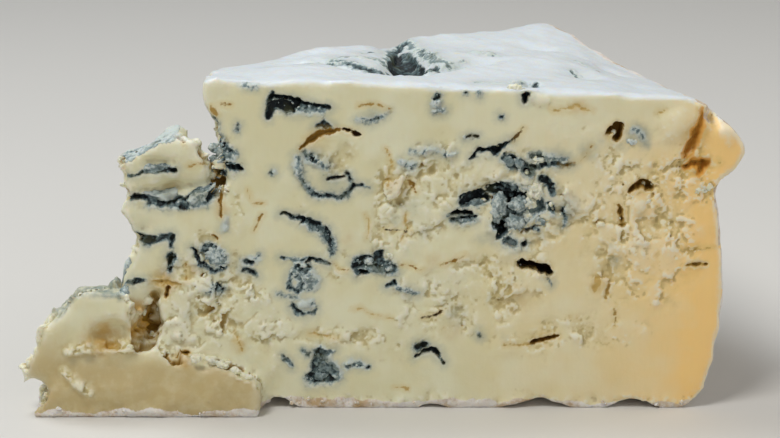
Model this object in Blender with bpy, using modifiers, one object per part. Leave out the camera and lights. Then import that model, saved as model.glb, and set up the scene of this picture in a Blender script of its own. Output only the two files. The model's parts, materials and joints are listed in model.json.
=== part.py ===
# Blue cheese wedge: a 37 degree cut from a wheel, with a broken nose.
#
# Run it with blender --background --python part.py, or from Blender's text editor.
# Units are metres, +Z is up. While the wedge is modelled, the wheel's axis is the Z axis, the
# nearer cut face is the plane Y = 0, and "along" is the distance from the axis on that face.
# At the end the wedge is moved so that the middle of its box's underside is at the origin.

import math

import bmesh
import bpy
from mathutils import Matrix, Vector, noise

MM = 0.001

# The wheel and the cut
WHEEL_RADIUS = 150.6 * MM
WEDGE_ANGLE = math.radians(37)
CENTRE_HEIGHT = 75.6 * MM
SHOULDER_HEIGHT = 70.0 * MM
CUT_REACH = 200 * MM
FAR_NORMAL = Vector((-math.sin(WEDGE_ANGLE), math.cos(WEDGE_ANGLE), 0))

# Rind outline, from the top's centre out, over the shoulder and down: (radius, height)
RIND_OUTLINE = [
    (0, CENTRE_HEIGHT),
    (36 * MM, 75.2 * MM),
    (83 * MM, 73.4 * MM),
    (115 * MM, 72.2 * MM),
    (131 * MM, 70.9 * MM),
    (142 * MM, SHOULDER_HEIGHT),
    (147.5 * MM, 67.0 * MM),
    (149.6 * MM, 60.0 * MM),
    (149.4 * MM, 46.0 * MM),
    (WHEEL_RADIUS, 27.0 * MM),
    (149.6 * MM, 14.0 * MM),
    (147.4 * MM, 4.5 * MM),
    (143.0 * MM, 0),
    (0, 0),
]
WHEEL_STEPS = 160

# The broken nose on the near cut face, from the top's edge down, in runs. Each run drops and
# shifts along the wedge by so much for each mm of depth, then lists its points: (along, up).
NOSE_RUNS = {
    "broken end": (0.0, 0.04, [
        (35.6, 80.0), (35.6, 72.5), (36.0, 67.0), (37.0, 65.6), (38.2, 64.2), (38.4, 61.4),
        (39.4, 59.6), (40.4, 57.6), (40.2, 54.5),
    ]),
    "crevice": (0.30, 0.0, [(39.0, 52.6), (37.4, 53.2)]),
    "right shoulder of the stack": (0.28, -0.08, [
        (36.4, 56.2), (35.2, 58.0), (34.8, 60.4), (32.6, 61.4), (31.8, 60.4),
    ]),
    "top of the stack": (0.12, -0.05, [
        (31.0, 63.0), (29.6, 63.6), (25.0, 60.6), (20.4, 58.4), (17.2, 57.8),
    ]),
    "side of the stack": (0.28, 0.06, [
        (18.2, 56.0), (19.8, 53.4), (18.4, 51.8), (19.6, 48.5), (17.6, 45.0), (19.6, 41.8),
        (20.3, 37.0), (19.5, 33.8), (16.1, 32.4), (16.9, 28.8),
    ]),
    "ledge and end of the foot": (0.10, 0.05, [
        (8.7, 28.4), (6.4, 26.8), (4.5, 23.4), (-0.4, 20.0), (-0.6, 16.6), (-4.6, 11.2),
        (-4.0, 8.4), (-0.2, 6.2), (-0.4, 3.9), (-3.2, 2.2),
    ]),
    "under the foot": (0.0, 0.0, [(-3.0, -4.0)]),
}
# The broken end is cut across into slices at these depths, in mm, each rougher than the last
SLICE_DEPTHS = [-1, 5, 9, 13, 17, 21, 26, 120]
SLICE_OVERLAP = 0.5
SLICE_ROUGHNESS = 1.5

# The lump left of the stack, which stands a little in front of the cut face: (along, up)
LUMP_OUTLINE = [
    (20.8, -4.0),
    (20.6, 10.0),
    (19.6, 20.0),
    (18.9, 27.6),
    (8.7, 28.4),
    (6.4, 26.8),
    (4.5, 23.4),
    (-0.4, 20.0),
    (-0.6, 16.6),
    (-4.6, 11.2),
    (-4.0, 8.4),
    (-0.2, 6.2),
    (-0.4, 3.9),
    (-3.2, 2.2),
    (-3.0, -4.0),
]
LUMP_NEAR = -4.2 * MM
LUMP_FAR = 8.0 * MM

# The slab that has slipped forward at the foot of the nose: (along, up)
FOOT_OUTLINE = [
    (-3.0, -4.0),
    (-3.2, 2.0),
    (0.5, 5.0),
    (5.0, 8.5),
    (11.0, 12.0),
    (18.0, 14.0),
    (25.0, 15.2),
    (30.0, 11.6),
    (36.5, 13.0),
    (43.0, 9.6),
    (48.0, 7.0),
    (48.4, 3.0),
    (46.5, -4.0),
]
FOOT_NEAR = -6.8 * MM
FOOT_FAR = 7.0 * MM
FOOT_UPRIGHT = 5 * MM
FOOT_LEAN = 0.42

# Dents in the near cut face: along, up, half width, half height, tilt in degrees, depth
FACE_DENTS = {
    "hollow in the lump": (15.0, 18.4, 5.4, 3.4, 8, 3.0),
    "cave behind the lump": (22.8, 20.0, 2.6, 5.2, -8, 7.5),
    "cave behind the lump, top": (24.0, 25.6, 1.6, 3.0, -12, 3.4),
    "crevice behind the stack": (39.2, 52.5, 2.6, 3.0, 0, 7.0),
    "long vein of the stack": (29.0, 50.6, 7.5, 1.7, 4, 2.6),
    "short vein of the stack": (26.0, 56.8, 4.6, 1.3, 3, 1.6),
    "low vein of the stack": (24.0, 41.5, 4.0, 1.7, 0, 2.4),
    "corner vein": (56.0, 70.0, 6.4, 1.8, -10, 2.2),
    "ring crack": (63.0, 63.6, 5.6, 1.4, 14, 2.8),
    "ring": (60.0, 54.5, 6.6, 5.6, 0, 1.2),
    "arched vein": (59.5, 44.6, 6.0, 1.7, -18, 2.2),
    "clotted vein": (58.0, 32.5, 4.4, 4.4, 0, 2.2),
    "middle vein": (74.5, 35.8, 4.2, 2.8, -10, 2.8),
    "middle vein, tail": (79.5, 30.0, 4.2, 1.5, -24, 2.6),
    "big cluster, top": (108.0, 57.0, 8.5, 2.8, -6, 3.4),
    "big cluster, left": (95.5, 48.8, 5.0, 3.2, 10, 4.2),
    "big cluster, middle": (104.0, 50.5, 6.4, 5.6, 0, 3.4),
    "big cluster, foot": (104.0, 42.4, 4.0, 3.0, 0, 3.0),
    "square hole": (108.5, 35.2, 4.2, 2.0, -10, 6.5),
    "upper right hole": (126.4, 63.6, 3.0, 2.6, 20, 4.6),
    "right hole": (131.6, 51.4, 3.6, 1.8, 8, 4.6),
    "right slot": (127.0, 46.0, 1.3, 2.2, 12, 3.6),
    "low slot": (111.0, 18.6, 3.4, 1.4, 14, 3.6),
    "low right slot": (144.4, 35.0, 2.4, 1.0, 4, 3.0),
    "low vein": (62.0, 13.8, 4.4, 3.6, 0, 2.6),
    "low arched vein": (85.0, 15.4, 3.2, 1.8, -8, 2.2),
    "lip crack": (144.4, 63.4, 1.6, 6.6, -26, 5.0),
    "lip hole": (142.8, 55.6, 2.8, 2.2, 0, 4.6),
}

# Where the near cut face is crumbly: along, up, half width, half height, strength in mm
CRUMBLY_PATCHES = [
    (84.0, 58.0, 12.0, 9.0, 0.9),
    (92.0, 35.0, 15.0, 10.0, 1.0),
    (106.0, 50.0, 13.0, 12.0, 1.5),
    (128.0, 48.0, 13.0, 16.0, 1.1),
    (32.0, 32.0, 13.0, 14.0, 1.2),
    (70.0, 15.0, 22.0, 7.0, 0.7),
    (40.0, 50.0, 5.0, 12.0, 0.9),
]
CUT_FACE_ROUGHNESS = 0.35 * MM

# The far cut face has pits and cracks of the same kind, strewn by noise
FAR_PIT_SIZE = 8.5 * MM
FAR_PIT_DEPTH = 3.2 * MM
FAR_PIT_THRESHOLD = 0.32

# The top: the sunk line between its swollen plates, seen from above: (along, back)
TOP_CREASE = [(47, 18), (55, 25), (63, 25), (70, 18), (77, 15), (84, 17), (92, 25), (104, 33)]
TOP_CREASE_DEPTH = 2.2 * MM
TOP_CREASE_WIDTH = 2.0 * MM
TOP_VALLEY = [(81, 18), (81, 30), (79, 44), (76.5, 58)]
TOP_VALLEY_DEPTH = 4.2 * MM
TOP_VALLEY_END = 0.45
TOP_VALLEY_WIDTH = 4.2 * MM
TOP_DENTS = [  # along, back, half width, half depth, depth in mm
    (107.5, 7.0, 3.6, 2.8, 2.4),
    (119.5, 21.5, 4.6, 4.0, 1.6),
    (99.0, 38.0, 5.0, 2.6, 1.5),
    (112.0, 58.0, 5.5, 4.0, 1.8),
    (128.0, 40.0, 4.6, 5.2, 1.6),
    (60.0, 38.0, 4.0, 3.0, 0.9),
]
TOP_BEND = 1.6
PLATE_SWELL = 1.1 * MM

# The lip: the shoulder pushed out over the rind, strongest at the near cut face
LIP_REACH = 5.4 * MM
LIP_HEIGHT = 59.5 * MM
LIP_BAND = 5.6 * MM
LIP_ARC = 17 * MM
LIP_REST = 0.22
NECK_HEIGHT = 49.6 * MM
NECK_PINCH = 1.6 * MM
RIM_SAG = 4.2 * MM
RIM_SAG_ARC = 86 * MM
RIM_RISE = 2.2 * MM
NOSE_DROOP = 0.118

# The underside: arches under the near edge: along, half width, height, in mm
BASE_ARCHES = [
    (51.5, 3.2, 2.6),
    (110.5, 5.2, 2.2),
    (131.5, 4.6, 2.0),
    (86.0, 4.0, 0.9),
    (21.0, 3.4, 0.9),
]
ARCH_REACH = 9 * MM
BASE_BAND = 4 * MM
FLAT_BAND = 0.45 * MM

# Fineness
VOXEL = 1.25 * MM
TRIANGLES = 9800


def clear_scene():
    """Removes whatever the startup file holds."""
    for obj in list(bpy.data.objects):
        bpy.data.objects.remove(obj, do_unlink=True)


def new_collection(name):
    collection = bpy.data.collections.new(name)
    bpy.context.scene.collection.children.link(collection)
    return collection


def through(points, steps=6):
    """A smooth line through the points (Catmull-Rom), for outlines that are rounded."""
    ends = [points[0]] + list(points) + [points[-1]]
    line = []
    for before, start, end, after in zip(ends, ends[1:], ends[2:], ends[3:]):
        for step in range(steps):
            t = step / steps
            line.append(
                tuple(
                    0.5
                    * (
                        2 * b
                        + (c - a) * t
                        + (2 * a - 5 * b + 4 * c - d) * t * t
                        + (3 * b - a - 3 * c + d) * t * t * t
                    )
                    for a, b, c, d in zip(before, start, end, after)
                )
            )
    return line + [tuple(points[-1])]


def made_mesh(obj, collection):
    """The object's evaluated shape as a plain mesh object with its points welded."""
    graph = bpy.context.evaluated_depsgraph_get()
    mesh = bpy.data.meshes.new_from_object(obj.evaluated_get(graph))
    solid = bpy.data.objects.new(obj.name + "_solid", mesh)
    solid.matrix_world = obj.matrix_world.copy()
    collection.objects.link(solid)
    bpy.data.objects.remove(obj, do_unlink=True)
    work = bmesh.new()
    work.from_mesh(mesh)
    bmesh.ops.remove_doubles(work, verts=work.verts, dist=0.00001)
    bmesh.ops.recalc_face_normals(work, faces=work.faces)
    work.to_mesh(mesh)
    work.free()
    return solid


def turned_wheel(collection):
    """The whole wheel: its rind outline spun round the axis with a Screw modifier."""
    top = through(RIND_OUTLINE[:-1])
    line = top + [RIND_OUTLINE[-1]]
    mesh = bpy.data.meshes.new("wheel")
    mesh.from_pydata(
        [(radius, 0, height) for radius, height in line],
        [(i, i + 1) for i in range(len(line) - 1)],
        [],
    )
    wheel = bpy.data.objects.new("wheel", mesh)
    collection.objects.link(wheel)
    screw = wheel.modifiers.new("turn", "SCREW")
    screw.axis = "Z"
    screw.angle = 2 * math.pi
    screw.steps = screw.render_steps = WHEEL_STEPS
    screw.use_merge_vertices = True
    screw.merge_threshold = 0.00005
    bpy.context.view_layer.update()
    return made_mesh(wheel, collection)


def plate(name, outline, near, far, collection):
    """A flat outline, in metres, standing on the near cut face, extruded from near to far."""
    curve = bpy.data.curves.new(name, "CURVE")
    curve.dimensions = "2D"
    curve.fill_mode = "BOTH"
    curve.extrude = (far - near) / 2
    spline = curve.splines.new("POLY")
    spline.points.add(len(outline) - 1)
    for point, (along, up) in zip(spline.points, outline):
        point.co = (along, up, 0, 1)
    spline.use_cyclic_u = True
    obj = bpy.data.objects.new(name, curve)
    obj.rotation_euler = (math.pi / 2, 0, 0)
    obj.location = (0, (near + far) / 2, 0)
    collection.objects.link(obj)
    bpy.context.view_layer.update()
    return made_mesh(obj, collection)


def boolean(target, operation, other, solver="EXACT"):
    """One Boolean, applied; the other object is removed."""
    modifier = target.modifiers.new(operation.lower(), "BOOLEAN")
    modifier.operation = operation
    modifier.solver = solver
    modifier.object = other
    apply_modifiers(target)
    bpy.data.objects.remove(other, do_unlink=True)


def apply_modifiers(obj):
    """Replaces the object's mesh by its evaluated one and drops its modifiers."""
    bpy.context.view_layer.update()
    graph = bpy.context.evaluated_depsgraph_get()
    mesh = bpy.data.meshes.new_from_object(obj.evaluated_get(graph))
    obj.modifiers.clear()
    obj.data = mesh


def wedge_cutter(collection):
    """The prism that the two cuts leave of the wheel, with its edge on the axis."""
    below, above = -20 * MM, 120 * MM
    corners = [(0, 0), (CUT_REACH, 0), (CUT_REACH, CUT_REACH * math.tan(WEDGE_ANGLE))]
    work = bmesh.new()
    low = [work.verts.new((x, y, below)) for x, y in corners]
    work.faces.new(low)
    risen = bmesh.ops.extrude_face_region(work, geom=work.faces[:])
    lifted = [v for v in risen["geom"] if isinstance(v, bmesh.types.BMVert)]
    bmesh.ops.translate(work, verts=lifted, vec=(0, 0, above - below))
    bmesh.ops.recalc_face_normals(work, faces=work.faces)
    mesh = bpy.data.meshes.new("wedge_cutter")
    work.to_mesh(mesh)
    work.free()
    cutter = bpy.data.objects.new("wedge_cutter", mesh)
    collection.objects.link(cutter)
    return cutter


def broken_outline(depth):
    """The nose's outline at a depth behind the near cut face, in metres."""
    outline = []
    uneven = SLICE_ROUGHNESS * min(1.0, depth / 5)
    for drop, shift, points in NOSE_RUNS.values():
        for along, up in points:
            loose = fade(-up, -22, -4) * (up < 72)
            spot = Vector((0.9 * len(outline), depth / 9, 0.5))
            along += shift * depth + uneven * noise.noise(spot)
            up += loose * (uneven * noise.noise(spot + Vector((0, 0, 5))) - drop * depth)
            outline.append((along * MM, up * MM))
    return outline


def broken_wedge(wedge, collection):
    """The wedge once its nose has broken off: cut into overlapping slices with unlike ends."""
    slices = []
    for near, far in zip(SLICE_DEPTHS, SLICE_DEPTHS[1:]):
        outline = [(CUT_REACH, -4 * MM), (CUT_REACH, 80 * MM)] + broken_outline(max(0, near))
        cutter = plate(f"slice_{far}", outline, (near - SLICE_OVERLAP) * MM, far * MM, collection)
        part = wedge.copy()
        part.data = wedge.data.copy()
        collection.objects.link(part)
        boolean(part, "INTERSECT", cutter)
        slices.append(part)
    bpy.data.objects.remove(wedge, do_unlink=True)
    return slices


def joined(pieces, name):
    """The pieces as one object, their meshes side by side in world space."""
    work = bmesh.new()
    for piece in pieces:
        piece.data.transform(piece.matrix_world)
        work.from_mesh(piece.data)
    mesh = bpy.data.meshes.new(name)
    work.to_mesh(mesh)
    work.free()
    for piece in pieces[1:]:
        bpy.data.objects.remove(piece, do_unlink=True)
    whole = pieces[0]
    whole.data = mesh
    whole.matrix_world = Matrix.Identity(4)
    whole.name = name
    return whole


def nose_lump(collection):
    """The lump at the left of the foot, which stands proud of the cut face."""
    outline = [(along * MM, up * MM) for along, up in LUMP_OUTLINE]
    return plate("lump", outline, LUMP_NEAR, LUMP_FAR, collection)


def foot_slab(collection):
    """The slab that slipped forward at the foot, its near face leaning back at the top."""
    outline = [(along * MM, up * MM) for along, up in FOOT_OUTLINE]
    slab = plate("foot", outline, FOOT_NEAR, FOOT_FAR, collection)
    for vertex in slab.data.vertices:
        place = slab.matrix_world @ vertex.co
        if place.y < 0:
            place.y += FOOT_LEAN * max(0, place.z - FOOT_UPRIGHT)
            vertex.co = slab.matrix_world.inverted() @ place
    return slab


def remesh(obj, voxel):
    """One closed skin of even fineness round everything the object holds."""
    modifier = obj.modifiers.new("skin", "REMESH")
    modifier.mode = "VOXEL"
    modifier.voxel_size = voxel
    apply_modifiers(obj)


def fade(value, inner, outer):
    """1 below inner, 0 above outer, smooth in between."""
    t = min(1.0, max(0.0, (value - inner) / (outer - inner)))
    return 1 - t * t * (3 - 2 * t)


def distance_to_line(x, y, line):
    """Distance from a point to a bent line, and how far along the line that is, from 0 to 1."""
    nearest, share = 1e9, 0.0
    for number, ((x0, y0), (x1, y1)) in enumerate(zip(line, line[1:])):
        run, rise = x1 - x0, y1 - y0
        t = ((x - x0) * run + (y - y0) * rise) / (run * run + rise * rise)
        t = min(1.0, max(0.0, t))
        gap = math.hypot(x - x0 - t * run, y - y0 - t * rise)
        if gap < nearest:
            nearest, share = gap, (number + t) / (len(line) - 1)
    return nearest, share


def rough(place, size, octaves=3):
    """Fractal noise from about -1 to 1, whose largest lumps are as big as size."""
    return noise.fractal(place / size, 1.0, 2.1, octaves)


def crumbliness(along, up):
    """How strongly the near cut face crumbles there, in metres of relief."""
    total = 0.0
    for centre_along, centre_up, half_width, half_height, strength in CRUMBLY_PATCHES:
        t = math.hypot((along - centre_along) / half_width, (up - centre_up) / half_height)
        total = max(total, strength * fade(t, 0.5, 1.2))
    return total * MM


def face_push(place):
    """How far a point of the near cut face sinks in, away from the viewer."""
    along, up = place.x / MM, place.z / MM
    push = 0.0
    for centre_along, centre_up, half_width, half_height, tilt, depth in FACE_DENTS.values():
        turn = math.radians(tilt)
        x, z = along - centre_along, up - centre_up
        across = (x * math.cos(turn) + z * math.sin(turn)) / half_width
        rise = (z * math.cos(turn) - x * math.sin(turn)) / half_height
        ragged = 0.22 * rough(place, 3 * MM, 2)
        push = max(push, depth * MM * fade(math.hypot(across, rise) + ragged, 0.62, 1.15))
    return push


def far_push(place):
    """How far a point of the far cut face sinks in."""
    stretched = Vector((place.x, place.y, 1.7 * place.z)) + Vector((0.031, 0.017, 0.008))
    pit = noise.noise(stretched / FAR_PIT_SIZE) + 0.3 * rough(place, 3 * MM, 2)
    return FAR_PIT_DEPTH * fade(-pit, -FAR_PIT_THRESHOLD - 0.2, -FAR_PIT_THRESHOLD)


def top_drop(place):
    """How far the top sinks at a point, below zero where its plates swell."""
    along, back = place.x / MM, place.y / MM
    bend = TOP_BEND * rough(place, 14 * MM, 2)
    crease_gap, crease_share = distance_to_line(along + bend, back + bend, TOP_CREASE)
    valley_gap, valley_share = distance_to_line(along + 2 * bend, back, TOP_VALLEY)
    crease = TOP_CREASE_DEPTH * fade(crease_gap * MM, 0, TOP_CREASE_WIDTH * 1.6)
    crease *= fade(abs(crease_share - 0.5), 0.36, 0.54)
    valley = TOP_VALLEY_DEPTH * (1 - (1 - TOP_VALLEY_END) * valley_share)
    valley *= fade(valley_gap * MM, 0.3 * MM, TOP_VALLEY_WIDTH * 1.7)
    drop = max(crease, valley)
    for centre_along, centre_back, half_width, half_depth, depth in TOP_DENTS:
        t = math.hypot((along - centre_along) / half_width, (back - centre_back) / half_depth)
        drop = max(drop, depth * MM * fade(t, 0.2, 1.3))
    swell = PLATE_SWELL * (0.5 + noise.noise(place / (19 * MM) + Vector((3.1, 0.7, 2.2))))
    return drop - swell + NOSE_DROOP * place.y * fade(along, 36, 62)


def rim_sag(place, radius):
    """How far the shoulder sags towards the rind: most past the near cut, and up at the far one."""
    arc = math.atan2(place.y, place.x) * WHEEL_RADIUS
    rim = fade(WHEEL_RADIUS - radius, 6 * MM, 26 * MM)
    sag = RIM_SAG * math.sin(math.pi * min(1.0, max(0.0, arc / RIM_SAG_ARC)))
    return rim * (sag - RIM_RISE * fade(-arc, -96 * MM, -78 * MM))


def lip_push(place):
    """Outward push, from the axis, of the shoulder over the pinched neck."""
    arc = math.atan2(place.y, place.x) * WHEEL_RADIUS
    waves = 0.5 + 0.5 * noise.noise(Vector((arc / (13 * MM), 4.0, 1.0)))
    strength = max(fade(arc, 0, LIP_ARC), LIP_REST * 2 * waves)
    bulge = math.exp(-(((place.z - LIP_HEIGHT) / LIP_BAND) ** 2))
    neck = math.exp(-(((place.z - NECK_HEIGHT) / (3 * MM)) ** 2))
    return strength * (LIP_REACH * bulge - NECK_PINCH * neck)


def base_lift(place):
    """How far the underside rises at a point: the arches under the near edge."""
    lift = 0.0
    for along, half_width, height in BASE_ARCHES:
        across = (place.x / MM - along) / half_width
        lift += height * MM * math.exp(-across * across * 1.4)
    nearness = fade(place.y, 2 * MM, ARCH_REACH)
    ragged = 0.7 * MM * max(0.0, rough(place, 9 * MM, 2)) * fade(place.y, 1 * MM, 6 * MM)
    return (lift * nearness + ragged) * fade(place.z, 0, BASE_BAND)


def sculpt(mesh):
    """Moves every point of the skin as the cheese's own surface goes at that place."""
    moved = []
    for vertex in mesh.vertices:
        place, normal = vertex.co.copy(), vertex.normal.copy()
        radius = math.hypot(place.x, place.y)
        outward = Vector((place.x, place.y, 0)) / max(radius, 1e-6)
        near_face = fade(normal.y, -0.75, -0.15) * fade(place.y, 6 * MM, 12 * MM)
        top = fade(CENTRE_HEIGHT - place.z, 6 * MM, 18 * MM)
        top *= fade(-radius, -40 * MM, -36 * MM)
        rim = fade(WHEEL_RADIUS - radius, 6 * MM, 22 * MM)
        relief = CUT_FACE_ROUGHNESS * rough(place, 7 * MM)
        relief += crumbliness(place.x / MM, place.z / MM) * rough(place, 4.2 * MM) * near_face
        broken = fade(radius, 38 * MM, 46 * MM)
        relief += 0.75 * MM * broken * rough(place + Vector((0.1, 0, 0)), 5 * MM)
        step = normal * relief * fade(-place.z, -1.5 * MM, -0.5 * MM)
        step.y += face_push(place) * near_face
        far_face = fade(normal.dot(FAR_NORMAL), 0.75, 0.15)
        inside = fade(-place.z, -9 * MM, -5 * MM) * fade(place.z, 60 * MM, 66 * MM)
        step -= FAR_NORMAL * far_push(place) * far_face * inside
        step.z -= (top_drop(place) + rim_sag(place, radius)) * top
        step += outward * lip_push(place) * rim
        step.z += base_lift(place)
        moved.append(place + step)
    for vertex, place in zip(mesh.vertices, moved):
        vertex.co = place
        if place.z < FLAT_BAND:
            vertex.co.z = 0
    mesh.update()


def thin_out(obj, triangles):
    """Keeps the shape with far fewer faces, then lays the underside flat again."""
    obj.data.calc_loop_triangles()
    modifier = obj.modifiers.new("thin", "DECIMATE")
    modifier.ratio = triangles / len(obj.data.loop_triangles)
    apply_modifiers(obj)
    for vertex in obj.data.vertices:
        if vertex.co.z < FLAT_BAND:
            vertex.co.z = 0


def stand_on_origin(mesh):
    """Puts the middle of the box's underside at the origin."""
    lows = [min(v.co[axis] for v in mesh.vertices) for axis in range(3)]
    highs = [max(v.co[axis] for v in mesh.vertices) for axis in range(3)]
    middle = ((lows[0] + highs[0]) / 2, (lows[1] + highs[1]) / 2, lows[2])
    mesh.transform(Matrix.Translation(-Vector(middle)))
    print("wheel axis at", [round(-value / MM, 2) for value in middle], "mm")


def cheese_material():
    """Ivory paste, satin where it was cut."""
    material = bpy.data.materials.new("blue_cheese")
    material.use_nodes = True
    shader = material.node_tree.nodes["Principled BSDF"]
    shader.inputs["Base Color"].default_value = (0.72, 0.66, 0.42, 1)
    shader.inputs["Roughness"].default_value = 0.55
    shader.inputs["Metallic"].default_value = 0
    material.diffuse_color = (0.72, 0.66, 0.42, 1)
    return material


def main():
    clear_scene()
    cheese = new_collection("blue_cheese_wedge")
    wedge = turned_wheel(cheese)
    boolean(wedge, "INTERSECT", wedge_cutter(cheese))
    pieces = broken_wedge(wedge, cheese) + [nose_lump(cheese), foot_slab(cheese)]
    wedge = joined(pieces, "cheese_wedge")
    remesh(wedge, VOXEL)
    sculpt(wedge.data)
    thin_out(wedge, TRIANGLES)
    stand_on_origin(wedge.data)
    wedge.data.shade_smooth()
    wedge.data.set_sharp_from_angle(angle=math.radians(40))
    wedge.data.materials.clear()
    wedge.data.materials.append(cheese_material())


main()
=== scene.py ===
# The looks of a wedge of blue cheese: one moulded body, loose crumbs, floor, lights and camera.
import json
import math
import random

import bmesh
import bpy
import numpy as np
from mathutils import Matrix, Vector, noise
from mathutils.bvhtree import BVHTree

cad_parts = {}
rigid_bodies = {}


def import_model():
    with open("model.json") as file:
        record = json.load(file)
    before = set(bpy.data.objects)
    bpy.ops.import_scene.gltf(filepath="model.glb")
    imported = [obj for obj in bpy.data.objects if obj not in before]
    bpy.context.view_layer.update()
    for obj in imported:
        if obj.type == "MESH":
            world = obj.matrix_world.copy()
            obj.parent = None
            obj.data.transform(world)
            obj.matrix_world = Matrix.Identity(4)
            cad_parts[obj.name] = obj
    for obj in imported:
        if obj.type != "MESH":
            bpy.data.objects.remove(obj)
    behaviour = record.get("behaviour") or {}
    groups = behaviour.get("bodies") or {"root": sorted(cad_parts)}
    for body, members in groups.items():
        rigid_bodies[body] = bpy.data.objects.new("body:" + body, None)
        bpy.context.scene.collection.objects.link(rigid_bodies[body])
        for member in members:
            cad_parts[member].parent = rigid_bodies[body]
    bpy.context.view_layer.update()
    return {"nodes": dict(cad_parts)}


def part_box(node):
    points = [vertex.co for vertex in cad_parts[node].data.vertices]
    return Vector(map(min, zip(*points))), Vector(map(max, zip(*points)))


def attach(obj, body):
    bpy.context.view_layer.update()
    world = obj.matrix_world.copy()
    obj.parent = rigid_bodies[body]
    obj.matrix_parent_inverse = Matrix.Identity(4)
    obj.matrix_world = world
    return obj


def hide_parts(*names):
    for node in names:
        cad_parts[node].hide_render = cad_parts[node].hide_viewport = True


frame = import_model()
boxLow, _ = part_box("cheese_wedge")
scene = bpy.context.scene
mm = 0.001
print("frame loaded")


def linked(name, data):
    piece = bpy.data.objects.new(name, data)
    scene.collection.objects.link(piece)
    return piece


def applied(piece):  # the mesh that its modifiers make; the object goes
    bpy.context.view_layer.update()
    made = bpy.data.meshes.new_from_object(piece.evaluated_get(bpy.context.evaluated_depsgraph_get()))
    bpy.data.objects.remove(piece, do_unlink=True)
    return made


# Camera, first because the veins are placed through it

shot = {
    "width": 780,
    "height": 438,
    "mmPerPixel": 0.22,      # at the near cut face
    "focalPixels": 2400,
    "elevation": math.radians(15),
    "axisPixel": 42,         # where the wheel's axis stands in the picture
    "aimUp": 43.98,          # mm over the floor
    "sensor": 36,            # mm
}
perPixel = shot["mmPerPixel"]
# the wheel's axis: the foot reaches this far to its left and in front of it, in mm
footReach = {"left": 4.73, "front": 7.15}
axis = Vector((boxLow.x + footReach["left"] * mm, boxLow.y + footReach["front"] * mm, 0))

aim = axis + Vector(((shot["width"] / 2 - shot["axisPixel"]) * perPixel, 0, shot["aimUp"])) * mm
forward = Vector((0, math.cos(shot["elevation"]), -math.sin(shot["elevation"])))
upward = Vector((0, math.sin(shot["elevation"]), math.cos(shot["elevation"])))
eye = aim - forward * shot["focalPixels"] * perPixel * mm

lens = bpy.data.cameras.new("camera")
lens.sensor_width = shot["sensor"]
lens.lens = lens.sensor_width * shot["focalPixels"] / shot["width"]
lens.clip_start = 0.01
camera = linked("camera", lens)
camera.location = eye
camera.rotation_euler = (math.pi / 2 - shot["elevation"], 0, 0)
scene.camera = camera


def alongRay(x, y, point, normal):
    ray = forward * shot["focalPixels"] + Vector((1, 0, 0)) * (x - shot["width"] / 2)
    ray += upward * (shot["height"] / 2 - y)
    return eye + ray * ((point - eye).dot(normal) / ray.dot(normal))


def onFace(x, y, back=0.0):  # picture point -> mm along and up on the near cut face, or this far behind it
    spot = alongRay(x, y, axis + Vector((0, back * mm, 0)), Vector((0, -1, 0)))
    return (spot.x - axis.x) / mm, spot.z / mm


slabFront = -6.0   # mm behind the near cut face, so in front of it
topHeight = 73.0   # mm


def onFoot(x, y):  # the same on the slab that broke away at the left
    return onFace(x, y, slabFront)


def onTop(x, y):  # picture point -> mm along and back on the top
    spot = alongRay(x, y, Vector((0, 0, topHeight * mm)), Vector((0, 0, 1)))
    return (spot.x - axis.x) / mm, (spot.y - axis.y) / mm


# Small number helpers

def soft(low, high, value):  # smooth step, also with low above high
    t = np.clip((value - low) / (high - low), 0, 1)
    return t * t * (3 - 2 * t)


def grain(points, size, octaves=3, shift=0.0):  # fractal noise, about -1 to 1, points in mm
    spots = (points / size + shift).tolist()
    return np.array([noise.fractal(spot, 1.0, 2.1, octaves) for spot in spots])


def scramble(centres, salt):  # one random number, -0.5 to 0.5, for each crumb
    value = np.sin(centres @ np.array([12.99, 78.23, 37.7]) + salt) * 43758.5
    return value - np.floor(value) - 0.5


def brokenCurd(points, size, tilt, shift=0.0):  # crumbs, each with a height and a lean of its own
    spots = points / size + shift
    found = [noise.voronoi(spot) for spot in spots.tolist()]
    gap = np.array([gaps[1] - gaps[0] for gaps, _ in found])
    centres = np.array([near[0] for _, near in found])
    offset = spots - centres
    lean = np.stack([scramble(centres, salt) for salt in (1.0, 2.0, 3.0)], 1)
    height = scramble(centres, 4.0) + tilt * (offset * lean).sum(1)
    return height, gap


def torn(points, size, steps, octaves=3, shift=0.0, tilt=0.5):  # leaning flakes with ragged, steep edges
    field = grain(points, size, octaves, shift) * steps
    level = np.round(field)
    return (level - tilt * (field - level)) / steps


def strokeGap(along, up, path):  # mm from a brush stroke's edge, below 0 inside it
    gap = np.full(len(along), 99.0)
    if len(path) == 1:
        path = path * 2
    for (a0, u0, w0), (a1, u1, w1) in zip(path, path[1:]):
        run, rise = a1 - a0, u1 - u0
        length = run * run + rise * rise
        t = ((along - a0) * run + (up - u0) * rise) / max(length, 1e-9)
        t = np.clip(t, 0, 1)
        away = np.hypot(along - a0 - t * run, up - u0 - t * rise)
        gap = np.minimum(gap, away - (w0 + (w1 - w0) * t))
    return gap


def stroke(tone, depth, path, **more):
    return {"tone": tone, "depth": depth, "path": path, **more}


# The veins of the near cut face, each as its tone, its depth in mm and its path. A path is
# (x, y, half width) in picture pixels; tone runs from 0, black, to 1, pale grey-blue.

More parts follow.
